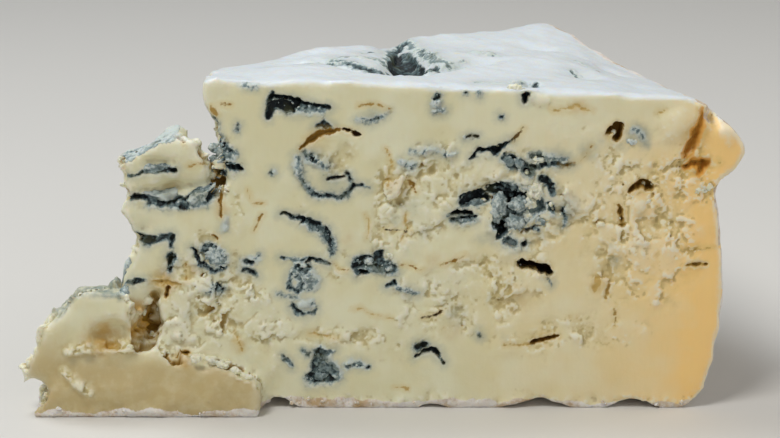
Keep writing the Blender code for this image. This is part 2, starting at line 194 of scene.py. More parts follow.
mouldVeins = {
    "corner vein, crack": stroke(0.0, 2.2, [(271, 98, 1.5), (276, 97.5, 3), (285, 97.5, 2.2),
        (296, 101.5, 2.5), (307, 104, 2), (318, 106, 2), (328, 108, 3)]),
    "corner vein, body": stroke(0.42, 0.9, [(277, 104, 5), (291, 107, 5.5), (306, 109, 4),
        (322, 110, 3.5)]),
    "corner vein, upright": stroke(0.1, 1.2, [(272, 93, 2), (271, 105, 4), (268, 116, 2.5)]),
    "pit under the corner vein": stroke(0.05, 1.5, [(325, 119, 1.5), (324, 125, 4.5), (331, 127, 2.5),
        (318, 127, 3)]),
    "ring": stroke(0.2, 1.1, [(298, 157, 3.6), (297, 164, 4), (299, 173, 3), (305, 182, 2.8), (311, 192, 3),
        (318, 197, 2.8), (329, 195.5, 2.6), (339, 197.5, 2.4), (347, 193.5, 3), (353, 186, 2.6)]),
    "ring, tail": stroke(0.04, 1.2, [(353, 186, 2), (360, 186.5, 1.7), (368, 187, 1)]),
    "ring, grains": stroke(0.6, 0.7, [(303, 152, 3.5), (309, 158, 5), (318, 163, 3.5), (328, 169, 2)]),
    "ring, inner crack": stroke(0.0, 2.4, [(326, 179, 0.8), (336, 178.3, 1.5), (346, 177.5, 1)]),
    "ring, hook": stroke(0.3, 0.6, [(348, 174, 1.8), (351, 180, 2.2)]),
    "oval, foot": stroke(0.35, 0.7, [(358.5, 121, 1), (371, 120, 1.7), (382, 116.5, 1.7), (387.5, 112, 1)]),
    "upper smear": stroke(0.5, 0.5, [(438, 95, 2.4), (436, 104, 3.2)]),
    "upper smear, foot": stroke(0.2, 0.8, [(434, 112, 1.6), (443, 111, 2.6)]),
    "dot": stroke(0.3, 0.8, [(272.5, 173, 2)]),
    "second dot": stroke(0.2, 0.8, [(501, 116.5, 2)]),
    "corner flecks": stroke(0.35, 0.5, [(245, 85, 1.6), (257, 87, 1.2)]),
    "fleck": stroke(0.3, 0.4, [(238, 125, 1), (238, 130, 1)]),
    "wavy line": stroke(0.25, 0.8, [(411, 151.5, 0.8), (420, 152, 1.2), (430, 147.4, 1), (438, 150, 0.9),
        (446, 156.5, 1.4), (455, 153, 0.9)]),
    "wavy line, crumbs": stroke(0.6, 0.5, [(402, 162, 2.4), (412, 166, 3.4)]),
    "short line": stroke(0.12, 0.9, [(464.6, 136.5, 0.7), (478, 137.5, 0.8)]),
    "edge dots": stroke(0.5, 0.4, [(466, 93, 1.2)]),
    "edge dots, right": stroke(0.45, 0.4, [(480, 93, 1.6), (479, 97, 1)]),
    "top pit": stroke(0.0, 3.0, [(528, 92, 1.5), (526, 96, 3), (525, 102, 1.5)]),
    "left edge, upper": stroke(0.35, 0.8, [(212, 117, 1.4), (214.5, 124, 2.6), (214, 132, 2)]),
    "left edge, lower": stroke(0.3, 1.0, [(218, 138, 2.2), (222, 145, 3), (228, 150, 3.4), (236, 154, 2)]),
    "crevice, crumbs": stroke(0.55, 0.3, [(214, 151, 4), (224, 153, 6), (231, 158, 4)]),
    "crevice, dark": stroke(0.03, 2.6, [(224, 165, 3), (232, 168, 4.4), (240, 169, 3.4)]),
    "crevice, gap": stroke(0.0, 8.0, [(213, 181, 2.5), (218, 176, 4.6), (219, 184, 4.8), (224, 173, 2.8)]),
    "stack, line under its top": stroke(0.06, 0.7, [(120, 153, 1), (131, 149, 1.6), (146, 141, 1.4),
        (160, 135, 0.6)]),
    "stack, upper line": stroke(0.04, 1.6, [(128, 176, 1), (137, 174.5, 1), (146, 171, 2.6),
        (160, 170, 2.2), (174, 170, 3)]),
    "stack, main vein": stroke(0.03, 2.4, [(131.5, 198.4, 2), (139.6, 196.4, 3.2), (155.6, 201.4, 3.6),
        (167.7, 203.4, 3), (184, 198.4, 2.2), (200, 192.4, 2.2), (211, 187.4, 2)]),
    "stack, main vein body": stroke(0.38, 1.1, [(150, 204, 3), (170, 206, 3.4), (190, 203, 4.6),
        (205, 200, 6), (216, 194, 4.4)]),
    "stack, third vein": stroke(0.1, 1.5, [(134.5, 234.6, 2.8), (147.6, 240.6, 5), (160, 238.6, 3.4),
        (171, 237, 3.4), (171, 248, 2.2)]),
    "stack, spot": stroke(0.16, 1.2, [(171.7, 258, 5), (169, 270, 2.4)]),
    "stack, mouldy lump": stroke(0.72, 0.2, [(207, 251, 6), (217, 255, 8.5), (220, 263, 6)]),
    "stack, arc by the lump": stroke(0.05, 1.8, [(192, 248.6, 2), (200, 262.7, 2.2), (212, 270.7, 2.2),
        (226, 268.7, 1.4)]),
    "smear by the stack": stroke(0.75, 0.3, [(247, 262, 4), (258, 259, 3)]),
    "smear by the stack, foot": stroke(0.1, 1.2, [(244, 268, 2), (250, 272, 2.2), (256, 274.8, 1.8)]),
    "smear by the stack, top": stroke(0.2, 0.8, [(259, 255.5, 2.4)]),
    "stack, short line": stroke(0.02, 1.6, [(127.5, 282.8, 1.6), (137.6, 280.8, 2), (148.6, 279.8, 1.2)]),
    "low grains": stroke(0.5, 0.5, [(208, 290.5, 1.8), (214, 287.5, 3.2), (222, 289.8, 3)]),
    "left smear": stroke(0.85, 0.1, [(225, 220, 2), (224, 230, 2.4)]),
    "arched vein": stroke(0.04, 2.0, [(281, 213.4, 1.4), (292.6, 217.5, 2), (302, 219, 3.4),
        (311, 221.5, 3.6), (320, 224, 2.4)]),
    "arched vein, body": stroke(0.36, 1.0, [(303, 223, 3), (314, 226, 5), (325, 231, 4.6), (331, 243, 3.4),
        (332, 254, 2.6)]),
    "clot, top": stroke(0.04, 1.8, [(281, 257.5, 1.4), (289, 260, 1.8), (300, 260.5, 2.6),
        (313, 258.5, 2.2), (329, 263.7, 1.6)]),
    "clot, body": stroke(0.6, 0.8, [(302, 272, 10), (309, 281, 11), (299, 288, 5)]),
    "clot, edge": stroke(0.1, 1.3, [(298, 264, 3.2), (290, 276, 2.6), (289, 287, 2.2), (297, 292, 1.8)]),
    "clot, line": stroke(0.25, 0.8, [(278, 293.6, 0.8), (286, 296.6, 1), (298, 299, 0.9)]),
    "clot, lower arc": stroke(0.08, 1.4, [(291.5, 305.5, 2), (297, 312.5, 2.4), (304, 314.5, 2.1),
        (313, 313, 2.4), (317, 307.5, 1.4)]),
    "clot, lower grains": stroke(0.9, 0.2, [(300, 305, 3.4), (311, 304, 3.4)]),
    "middle vein, black": stroke(0.02, 2.8, [(356, 266, 5), (358, 273, 3.4), (367, 272, 2)]),
    "middle vein, right": stroke(0.04, 2.2, [(378, 254, 4), (381, 262, 4.4)]),
    "middle vein, body": stroke(0.26, 1.2, [(358, 262, 6), (368, 264, 7.5), (380, 267, 7.5),
        (392, 269, 6)]),
    "middle tail": stroke(0.0, 2.8, [(387, 286.5, 1.8), (394, 283.5, 3.2)]),
    "middle tail, line": stroke(0.12, 1.4, [(397, 286.5, 2), (405, 289.5, 1.8), (412, 292, 2.2),
        (417.5, 293, 1)]),
    "low vein": stroke(0.44, 0.7, [(322, 355, 8), (321, 365, 10.5), (331, 373, 11), (312, 379, 7.5)]),
    "low vein, top": stroke(0.1, 1.6, [(313, 351.5, 1.5), (323, 353.5, 4), (333, 351.5, 1.5)]),
    "low vein, left": stroke(0.12, 1.1, [(283, 357, 2.2), (287, 361, 3), (292.5, 366, 1.7)]),
    "low vein, right": stroke(0.55, 0.7, [(349, 365, 3.4), (357, 364, 4.4), (366, 366, 2.4)]),
    "low vein, hook": stroke(0.25, 0.8, [(304, 351.5, 2.2), (308.5, 355.5, 2.2)]),
    "low arch": stroke(0.0, 1.9, [(415, 357, 1), (422, 352.5, 1.7), (430, 351, 1.8), (437, 352, 1.9),
        (440, 358, 1.9), (444, 362.5, 1.6)]),
    "low arch, back": stroke(0.3, 0.9, [(417, 348, 3.4), (425, 346, 3.4)]),
    "big crack": stroke(0.0, 3.2, [(470.5, 158, 0.7), (479.5, 151.5, 1.6), (488, 149.5, 2.6),
        (497, 150.5, 3.8), (504, 145, 1.9), (514, 140, 0.9)]),
    "big cluster, roof": stroke(0.28, 1.8, [(505, 158, 4), (512, 163, 6), (522, 165, 6.4),
        (529, 172, 5.4)]),
    "big cluster, hole": stroke(0.0, 4.6, [(527.5, 172, 3.6)]),
    "big cluster, right arm": stroke(0.08, 1.9, [(534, 167, 4.2), (546, 164.5, 4), (562, 164, 2.6),
        (573, 164.5, 1.4)]),
    "big cluster, upper arm": stroke(0.42, 0.8, [(532, 156.5, 2.4), (548, 157.5, 3), (564, 160, 2)]),
    "big cluster, right dark": stroke(0.05, 1.9, [(541, 178, 3), (551, 186, 4.4), (553, 194, 3.4)]),
    "big cluster, left": stroke(0.22, 2.4, [(463, 204, 4.4), (474, 200, 8), (484, 198, 4.6)]),
    "big cluster, left rim": stroke(0.0, 3.0, [(461, 199, 1.6), (467, 194, 1.8), (476, 192.5, 1.6),
        (485, 192, 1.6)]),
    "big cluster, left gap": stroke(0.0, 4.0, [(448, 216, 0.7), (459, 213, 2.6), (469, 214.5, 2)]),
    "big cluster, left foot": stroke(0.32, 1.6, [(453, 219.5, 2), (463, 220.5, 3.8), (474, 219, 3.4)]),
    "big cluster, bed": stroke(0.34, 2.2, [(490, 190, 4), (505, 190, 8), (520, 196, 10), (540, 206, 8),
        (515, 215, 11), (500, 224, 7)]),
    "big cluster, shade by the oval": stroke(0.0, 3.4, [(488, 187, 2), (499, 186.5, 2.2), (508, 192, 1.8),
        (509.5, 205, 1.8)]),
    "big cluster, lower gap": stroke(0.0, 5.0, [(503, 226, 4), (502, 232, 4.4), (498, 238, 2.6)]),
    "big cluster, lower": stroke(0.2, 2.2, [(507, 240, 6.4), (513, 244, 4.6)]),
    "big cluster, toe": stroke(0.5, 1.0, [(524, 246, 3.8)]),
    "big cluster, right lower": stroke(0.06, 1.8, [(549, 204, 3.2), (553, 211, 2.8)]),
    "big cluster, right streak": stroke(0.08, 1.2, [(563, 207, 1.2), (566, 217, 1.6), (563, 227, 1.2)]),
    "big cluster, low streak": stroke(0.06, 1.5, [(527, 229.5, 1.2), (538, 229, 1.7)]),
    "square hole, tail": stroke(0.0, 2.0, [(549, 278, 1.6), (552, 284, 0.9)]),
    "fuzz by the upper hole": stroke(0.62, 0.3, [(632, 130, 1.6), (639, 132, 1.8), (643, 139, 1.4)]),
    "low fleck": stroke(0.1, 0.8, [(479, 333, 1.2), (480, 336, 1)]),
}

# Cracks and holes with bare paste inside: tone from 0, near black as painted shade in deep holes, through
# ochre to 1, orange as a painted glow.
# wall is how far a side takes to go down, in mm, where it isn't the body's own.
ochreCracks = {
    "ring roof": stroke(0.36, 2.0, [(300, 149, 1.1), (307, 141, 2.4), (317, 134.5, 3.4), (328, 132, 3),
        (340, 131, 2.2)]),
    "ring roof, dark end": stroke(0.0, 3.0, [(344, 130, 1.2), (351, 131.8, 1.9), (360, 134, 1.4)]),
    "oval roof": stroke(0.65, 0.9, [(358.5, 106, 0.7), (363, 104, 0.9), (376, 104.4, 0.7),
        (383, 106.5, 0.9), (389, 109.5, 0.7)]),
    "crack left of the arch": stroke(0.55, 1.8, [(254, 231, 0.4), (258, 220.5, 1.1), (263, 213.5, 1.2)]),
    "thin line": stroke(0.7, 0.5, [(248, 189, 0.4), (252, 203, 0.4), (264, 203.5, 0.6)]),
    "line behind the stack": stroke(0.5, 2.4, [(221, 190, 1.4), (220.5, 203, 1.5), (221.5, 218, 0.9)]),
    "stack, notch": stroke(0.25, 2.2, [(181, 137, 1.2), (184, 143, 1.0)]),
    "stack, line": stroke(0.7, 0.7, [(188, 165, 0.8), (202, 164, 0.7)]),
    "stack, right pit": stroke(0.45, 1.6, [(214, 237, 1.6), (217, 240, 2.2)]),
    "stack, low crack": stroke(0.72, 1.8, [(153.6, 280.8, 1.4), (165.7, 282.8, 2), (182, 282.8, 1.2)]),
    "stack, low hole": stroke(0.6, 2.8, [(168, 288, 2.4), (164.5, 297, 1.3)]),
    "stack, upright crack": stroke(0.6, 1.2, [(186, 264, 0.6), (187, 281, 0.7)]),
    "lump, small hole": stroke(0.0, 2.0, [(130.5, 310, 1.5)]),
    "pit over the foot": stroke(0.6, 2.4, [(177, 357, 1.8), (186, 352, 3.2)]),
    "cracks right of the foot": stroke(0.75, 1.2, [(236, 333, 0.7), (238, 343, 1), (241, 352, 1.6)]),
    "upper crack": stroke(0.82, 1.4, [(549, 108, 0.7), (557, 111, 1), (568, 107.5, 1.3), (580, 106, 1.6),
        (592, 111, 0.6)]),
    "upper hole": stroke(0.5, 4.5, [(611, 131, 4), (618, 129, 6.4), (616, 139, 3.4)]),
    "right hole": stroke(0.66, 4.0, [(629, 191, 1.6), (634, 186.5, 3), (644, 185, 4), (651, 187.5, 4.6)]),
    "right hole, lower": stroke(0.7, 3.0, [(619, 206, 1.4), (621.5, 214, 2.1), (621, 222, 1)]),
    "thin upper crack": stroke(0.45, 1.4, [(564, 166, 0.5), (578, 161.5, 0.8), (587, 155, 0.6),
        (590, 146, 0.6)]),
    "crack over the cluster": stroke(0.2, 1.4, [(514, 140, 0.8), (524, 127.5, 0.8)]),
    "low hole": stroke(0.55, 3.4, [(533, 343, 1.8), (538, 340, 3), (547, 338, 2.6), (558, 335.5, 1.2)]),
    "low hole, line": stroke(0.75, 1.0, [(504, 344.5, 0.6), (518, 345, 0.9), (532, 344.5, 1)]),
    "slot": stroke(0.85, 2.6, [(688, 266, 1.4), (696, 265.3, 1.9), (704.5, 264, 1.7)]),
    "step over the slot": stroke(0.8, 0.6, [(683, 249.5, 0.5), (700, 248, 0.7), (714, 247, 0.5)]),
    "dimple": stroke(0.8, 1.0, [(598, 279, 2.6), (595, 289, 3)], wall=1.4),
    "crack by the dimple": stroke(0.6, 1.8, [(608.5, 284, 0.9), (607.5, 292, 1.2), (605.5, 299, 0.7)]),
    "low right crack": stroke(0.6, 1.6, [(614.5, 308, 0.7), (615, 317, 1), (614.5, 326, 0.7)]),
    "low right pits": stroke(0.7, 1.2, [(571, 317, 1.1)]),
    "low right pits, second": stroke(0.65, 1.4, [(577.5, 318, 1.5)]),
    "hooked line": stroke(0.5, 1.5, [(442, 264, 0.5), (453, 262, 0.7), (459.5, 257, 1.6),
        (466, 254.5, 0.9)]),
    "square hole": stroke(0.02, 6.0, [(521, 264, 4.6), (533, 267, 3.4), (547, 269.5, 4.2),
        (549.5, 274, 2.6)], wall=0.4),
    "lip crack": stroke(1.0, 4.0, [(703, 106, 2), (702, 117, 4.2), (698, 130, 6.6), (693, 143, 8),
        (687, 153, 6)], wall=2.2),
    "lip hole": stroke(0.99, 3.8, [(686, 168, 4), (694, 163, 6.6), (704, 165, 7.2),
        (700, 173, 4.6)], wall=1.8),
    "lip, small pit": stroke(0.8, 1.5, [(719, 162, 1.8)]),
    "line over the knob": stroke(0.8, 0.9, [(657, 113, 0.9), (664, 109, 1)]),
    "olive crack": stroke(0.14, 1.6, [(420, 318, 0.6), (430, 316, 1.8), (441, 311, 1.9)]),
    "drag line": stroke(0.8, 0.5, [(353, 309, 0.6), (362.5, 307.4, 0.7), (374.7, 316.5, 0.8),
        (393, 317, 0.5)]),
    "lower drag line": stroke(0.78, 0.8, [(310.4, 332.6, 0.7), (322.7, 336.4, 0.9), (341, 338, 0.7)]),
    "left edge pit": stroke(0.6, 1.4, [(211, 108, 2), (216, 112, 2.6)], wall=1.2),
    "left edge line": stroke(0.5, 0.9, [(220, 105.5, 0.6), (230, 104, 0.9)]),
    "line by the middle vein": stroke(0.4, 0.8, [(333, 263, 0.7), (340, 268, 0.7), (347, 270.6, 0.5)]),
    "line right of the middle vein": stroke(0.5, 0.8, [(401, 263, 0.7), (412, 267, 0.8),
        (424, 269.5, 0.6)]),
    "centre line": stroke(0.1, 0.9, [(383, 230, 0.6), (397, 230, 0.7), (411, 233, 0.9)]),
    "rind fissure": stroke(0.8, 0.4, [(394.6, 387.7, 0.5), (408, 389, 0.9)]),
    "crumb crack a": stroke(0.5, 1.5, [(407, 181, 1.2), (413, 186, 1.7), (417, 193, 1)]),
    "crumb crack b": stroke(0.85, 0.9, [(386, 148, 0.7), (391, 165, 1.1), (388, 185, 0.9)]),
    "crumb crack c": stroke(0.85, 1.0, [(366, 214, 0.6), (369, 226, 1), (367, 238, 0.8)]),
    "crumb crack d": stroke(0.8, 1.2, [(405, 214, 0.8), (407, 228, 1.2), (402, 240, 1)]),
}

# Soft grey-blue stains: (x, y, radius) in pixels and strength
stains = [
    (373, 113, 13, 0.5), (437, 104, 9, 0.5), (331, 185, 17, 0.5), (318, 158, 16, 0.4),
    (300, 108, 22, 0.25), (615, 261, 8, 0.6), (640, 216, 6, 0.5), (568, 208, 18, 0.5),
    (560, 158, 16, 0.45), (600, 140, 8, 0.4), (410, 205, 18, 0.3), (392, 272, 12, 0.4),
    (240, 264, 12, 0.45), (190, 314, 14, 0.3), (305, 305, 13, 0.4), (488, 236, 9, 0.5),
    (420, 345, 13, 0.35), (455, 316, 16, 0.4), (504, 337, 6, 0.4), (398, 222, 10, 0.4),
    (638, 134, 13, 1.1), (646, 143, 9, 0.8), (588, 152, 14, 0.5), (622, 146, 9, 0.6),
    (480, 240, 10, 0.35), (430, 158, 12, 0.3), (225, 225, 6, 0.4), (543, 238, 9, 0.35),
    (612, 246, 7, 0.4), (466, 141, 7, 0.5), (350, 182, 10, 0.3), (425, 232, 10, 0.3),
]

# Amber patches, a painted glow of thin paste and painted shade in sheltered hollows: (x, y, radius) in pixels
# and strength
amberPatches = [
    (142, 328, 17, 1.0), (137, 306, 9, 0.8), (104, 334, 23, 0.8), (186, 355, 9, 0.7),
    (163, 281, 17, 0.6), (195, 268, 9, 0.4), (697, 132, 17, 0.75), (696, 166, 15, 0.75), (640, 187, 13, 0.5),
    (613, 133, 13, 0.4), (697, 266, 9, 0.5), (620, 214, 9, 0.45), (545, 338, 11, 0.3), (316, 140, 16, 0.4),
    (238, 345, 9, 0.5), (221, 210, 9, 0.4), (580, 108, 12, 0.35), (520, 300, 20, 0.25), (598, 282, 12, 0.5),
    (432, 262, 12, 0.3), (452, 330, 14, 0.25), (398, 186, 14, 0.3), (346, 240, 10, 0.25),
]

# Crumbly stretches of the near cut face: (x, y, half width, half height) in pixels and strength
crumblyPatches = [
    (423, 190, 52, 46, 0.9), (400, 240, 36, 34, 0.7), (470, 285, 82, 46, 0.8),
    (635, 225, 66, 92, 0.8), (212, 292, 40, 56, 0.95), (345, 338, 95, 12, 0.6),
    (520, 200, 66, 52, 1.0), (228, 160, 14, 26, 0.8), (580, 330, 62, 22, 0.6),
    (520, 345, 40, 14, 0.5), (345, 262, 40, 22, 0.4), (690, 180, 30, 34, 0.8),
    (180, 320, 36, 30, 0.7), (270, 340, 24, 36, 0.7), (330, 160, 30, 24, 0.35),
    (440, 320, 60, 18, 0.7), (240, 300, 34, 30, 0.8), (560, 130, 34, 14, 0.35),
    (205, 237, 16, 11, 0.8), (186, 264, 24, 14, 0.6), (238, 212, 9, 30, 0.4), (152, 284, 24, 13, 0.7),
    (200, 325, 50, 24, 0.8),
]

# Crumbs that stand out of the face: place and half sizes in pixels, lean in degrees, height in mm
lumps = {
    "knob": (677, 125, 27, 22, 35, 1.5),
    "crumb in the right hole": (640, 205, 12, 12, 0, 0.8),
    "swelling by the lip": (726, 132, 12, 22, 12, 0.8),
    "low crumb": (620, 249, 9, 12, 0, 0.6),
    "white swelling at the top": (540, 99, 12, 6, -8, 0.7),
    "flake over the square hole": (508, 252, 18, 9, -6, 0.7),
    "flake under the crack": (500, 290, 26, 20, 10, 0.8),
}

# Raised crumbly strips along the slab's edges: height in mm, path as above
crumblyStrips = {
    "slab, upper edge": {"height": 1.3, "path": [
        (67, 353, 4), (90, 351, 5), (111, 349, 6), (136, 350, 5), (155, 345, 5), (172, 362, 4), (190, 362, 4),
        (206, 357, 5), (230, 369, 5), (247, 377, 5), (262, 386, 4)]},
    "slab, left end": {"height": 1.2, "path": [(74, 384, 3), (90, 392, 4), (62, 372, 3)]},
}

# Mould, hollows and creases of the top, in picture pixels read on the top's plane
topMould = {
    "crease": stroke(0.24, 0.9, [(272, 71, 2), (284, 69, 2.6), (297, 68, 3.4), (310, 67, 3), (322, 67, 2),
        (336, 66, 2), (350, 68, 3), (369, 72, 3.4), (391, 74, 3), (411, 74, 2.4)]),
    "left pocket": stroke(0.08, 0.9, [(296, 67, 2.4), (310, 67, 2.2)]),
    "pocket": stroke(0.0, 2.6, [(396, 66, 10), (402, 58, 13), (401, 50, 11), (415, 66, 12), (430, 68, 8)]),
    "pocket, rear": stroke(0.2, 0.9, [(389, 52, 4), (394, 45, 6), (405, 42, 5)]),
    "pocket, foot": stroke(0.0, 1.6, [(387, 70, 2), (397, 69, 2.4), (412, 70, 1.6), (425, 70.5, 2),
        (437, 69, 1.4)]),
    "crease, fuzz": stroke(0.8, 0.3, [(300, 70, 4), (318, 71, 4), (338, 63, 4), (356, 62, 6), (372, 63, 6),
        (385, 66, 5)]),
    "pocket, fuzz": stroke(0.6, 0.5, [(388, 62, 5), (391, 49, 6), (404, 39, 5), (418, 50, 5), (434, 60, 6),
        (448, 66, 5)]),
    "right thread": stroke(0.55, 0.5, [(437, 68, 1.8), (452, 65, 1.6), (464, 63, 1.2)]),
    "small holes": stroke(0.1, 1.2, [(364, 57, 2.2), (372, 56, 2)]),
    "front pit": stroke(0.12, 1.2, [(530, 83, 3), (536, 81, 2.6)]),
    "front pit, left": stroke(0.6, 0.5, [(510, 82, 2), (522, 81, 3)]),
    "front line": stroke(0.75, 0.3, [(475, 84, 0.8), (492, 83, 1), (508, 83, 1)]),
    "rear streak": stroke(0.8, 0.3, [(468, 54, 2), (486, 53, 3), (500, 56, 2)]),
    "right dints": stroke(0.62, 0.6, [(570, 66, 2.6), (580, 69, 3), (590, 74, 2.6)]),
    "right dints, upper": stroke(0.8, 0.3, [(576, 57, 3), (592, 61, 3)]),
    "left faint line": stroke(0.85, 0.2, [(452, 66, 2), (462, 65, 1.4)]),
}


def inMillimetres(strokes, place):
    ready = []
    for mark in strokes.values():
        path = [(*place(x, y), width * perPixel) for x, y, width in mark["path"]]
        ready.append({**mark, "path": path})
    return ready


# Veins for the far cut face, which the picture doesn't show: wandering lines of the same make

farSettings = {
    "seed": 41, "veins": 34, "holes": 13,
    "veinsAlong": (34, 138), "veinsUp": (9, 64), "holesAlong": (50, 142), "holesUp": (8, 62),   # mm
    "halfWidth": (0.35, 1.0), "step": (3.0, 2.4),   # mm
    "tones": [0.02, 0.06, 0.15, 0.3, 0.45],
}


def wanderingVeins(settings):
    rng = random.Random(settings["seed"])
    veins, cracks = [], []
    for number in range(settings["veins"]):
        along, up = rng.uniform(*settings["veinsAlong"]), rng.uniform(*settings["veinsUp"])
        heading = rng.uniform(-0.6, 0.6)
        width = rng.uniform(*settings["halfWidth"])
        tone = rng.choice(settings["tones"])
        path = []
        for _ in range(rng.randint(3, 7)):
            path.append((along, up, width * rng.uniform(0.5, 1.4)))
            heading += rng.uniform(-0.9, 0.9)
            along += settings["step"][0] * math.cos(heading)
            up += settings["step"][1] * math.sin(heading)
        veins.append(stroke(tone, rng.uniform(0.8, 2.2), path))
        if number % 2 == 0:
            pale = [(a, u - width, w * 2.2) for a, u, w in path[: len(path) // 2 + 1]]
            veins.append(stroke(rng.uniform(0.4, 0.75), 0.7, pale))
    for _ in range(settings["holes"]):
        along, up = rng.uniform(*settings["holesAlong"]), rng.uniform(*settings["holesUp"])
        reach, lean = rng.uniform(0.8, 3.0), rng.uniform(-0.6, 0.6)
        path = [(along, up, rng.uniform(0.4, 1.2)), (along + reach, up + reach * lean, rng.uniform(0.4, 1.3))]
        cracks.append(stroke(rng.uniform(0.1, 0.8), rng.uniform(1.2, 3.6), path))
    return veins, cracks


nearMould = inMillimetres(mouldVeins, onFace)
nearCracks = inMillimetres(ochreCracks, onFace)
topStrokes = inMillimetres(topMould, onTop)
strips = inMillimetres(crumblyStrips, onFoot)
farMould, farCracks = wanderingVeins(farSettings)
print("veins:", len(nearMould), "near,", len(farMould), "far,", len(topStrokes), "on the top")


# The body

body = {
    "angle": math.radians(37),   # between the two cuts
    "radius": 150.6,             # of the wheel, mm
    "voxel": 0.9,                # first skin, mm
    "smoothing": 2,
    "kept": 0.46,                # share of that skin's faces
    "jitter": 0.3,               # mm
    "refinings": 3,
    "planed": 8.4,               # how far behind the near face its hollows are filled, mm
    "edges": {                   # how long they may be, mm
        "face": 0.9, "crumbs": 0.64, "veins": 0.48, "top": 1.3, "topVeins": 0.5, "far": 1.4,
        "farVeins": 0.6, "underside": 40, "rest": 2.0},
    "warp": 0.55,                # how ragged the veins' edges are, mm
    "fineWarp": 0.22,
    "wall": 0.55,                # how far a hole's wall takes to go down, mm
    "topWall": 0.9,
    "crumbRelief": 2.7,          # mm
    "softening": 0.45,
    "sink": 0.25,                # share of their depth that the shallow veins keep
    "waviness": 0.28,            # mm
    "rindDepth": 1.5,            # mm of rind at the underside
    "onFloor": 0.1,              # what is lower than this stays on the floor, mm
    "ledge": {"height": 29.0, "fall": 0.2},   # mm, and mm down for each mm back
}

# What the broken curd is made of, as shares of its relief; level is its mean height
curd = {
    "level": 0.62, "layers": 0.42, "fineLayers": 0.10, "clumps": 0.42, "crumbs": 0.26, "specks": 0.06,
    "clefts": 0.24,
    "sizes": {"layers": 9.0, "fineLayers": 4.2, "clumps": 6.2, "crumbs": 2.7, "specks": 1.15},   # mm
}

# Soft borders of the parts, each from outside to inside, in mm along the near face, back from it,
# up from the floor, or as a radius from the wheel's axis
borders = {
    "top, up": (60, 64),
    "top, front band, back": (16, 6),
    "broken end, along": (56, 44),
    "broken end, up": (71, 69),
    "stack's top, along": (31, 28.5),
    "stack's top, up": (45, 48),
    "crag, along": (26, 22),
    "crag, from the left": (16, 17.5),
    "crag, up": (26, 28),
    "crag, below": (40, 34),
    "ledge, along": (18.5, 16.5),
    "ledge, up": (20, 24),
    "ledge, below": (35, 32),
    "slab, back": (-2.5, -4.5),
    "slab, along": (54, 44),
    "slab, up": (24, 9),
    "rim, radius": (141, 145),
    "rim, along": (46, 52),
    "ragged foot, up": (4.2, 0.8),
    "plain paste, radius": (124, 108),
}

farNormal = np.array([-math.sin(body["angle"]), math.cos(body["angle"]), 0])
farAlong = np.array([math.cos(body["angle"]), math.sin(body["angle"]), 0])

# Inside this outline the near cut face is one plane, in mm along and up
planeOutline = [
    (25.5, 15), (49, 9), (50.5, 3.2), (143, 3.2), (147.5, 12), (149, 30), (147, 46), (150.5, 55),
    (151, 62), (144, 67.5), (120, 70.4), (42, 73.2), (41.5, 62), (43.5, 52), (37, 47), (23, 49.5),
    (22, 34), (24.5, 28),
]


def inside(along, up, outline):
    hits = np.zeros(len(along), bool)
    for (a0, u0), (a1, u1) in zip(outline, outline[1:] + outline[:1]):
        crossing = (u0 > up) != (u1 > up)
        with np.errstate(divide="ignore", invalid="ignore"):
            at = a0 + (up - u0) * (a1 - a0) / (u1 - u0)
        hits ^= crossing & (along < at)
    return hits


def arrays(bm):  # places in mm from the wheel's axis, and normals
    places = np.array([v.co for v in bm.verts]) / mm
    places[:, 0] -= axis.x / mm
    places[:, 1] -= axis.y / mm
    normals = np.array([v.normal for v in bm.verts])
    return places, normals


def startingSkin():
    # the CAD solid's own form, with the near cut face planed flat for the finer veins
    mesh = frame["nodes"]["cheese_wedge"].data.copy()
    bm = bmesh.new()
    bm.from_mesh(mesh)
    bmesh.ops.remove_doubles(bm, verts=bm.verts, dist=0.01 * mm)
    places, _ = arrays(bm)
    flat = inside(places[:, 0], places[:, 2], planeOutline) & (places[:, 1] < body["planed"])
    for vertex, planed in zip(bm.verts, flat):
        if planed:
            vertex.co.y = axis.y
    bm.to_mesh(mesh)
    bm.free()
    skin = linked("skin", mesh)
    remesh = skin.modifiers.new("remesh", "REMESH")
    remesh.mode = "VOXEL"
    remesh.voxel_size = body["voxel"] * mm
    smooth = skin.modifiers.new("smooth", "SMOOTH")
    smooth.factor = 0.5
    smooth.iterations = body["smoothing"]
    mesh = applied(skin)

    # thinned away from the near face and the broken end; a slight jitter keeps those triangles even
    bm = bmesh.new()
    bm.from_mesh(mesh)
    bm.normal_update()
    places, normals = arrays(bm)
    fine = (normals[:, 1] < -0.4) & (places[:, 1] < 12) | (places[:, 0] < 50) & (places[:, 2] > 0.3)
    spare = ~fine
    nudge = np.where(spare & (places[:, 2] > 0.3), body["jitter"] * scramble(places, 5.0), 0)
    for vertex, step in zip(bm.verts, nudge):
        vertex.co += vertex.normal * float(step) * mm
    bm.to_mesh(mesh)
    bm.free()
    skin = linked("skin", mesh)
    group = skin.vertex_groups.new(name="spare")
    group.add(np.where(spare)[0].tolist(), 1.0, "REPLACE")
    thin = skin.modifiers.new("thin out", "DECIMATE")
    thin.ratio = body["kept"]
    thin.vertex_group = group.name
    return applied(skin)


def dome(along, up, centre, sizes, lean):
    turn = math.radians(lean)
    a, u = along - centre[0], up - centre[1]
    x = (a * math.cos(turn) + u * math.sin(turn)) / sizes[0]
    y = (u * math.cos(turn) - a * math.sin(turn)) / sizes[1]
    return np.hypot(x, y)


def within(border, values):
    return soft(*borders[border], values)


def strongest(patches, along, up, outer):  # round patches of the face, soft from outer times their radius
    found = np.zeros(len(along))
    for x, y, reach, strength in patches:
        centre = onFace(x, y)
        away = np.hypot(along - centre[0], up - centre[1]) / (reach * perPixel)
        found = np.maximum(found, strength * soft(outer, 0.2, away))
    return found


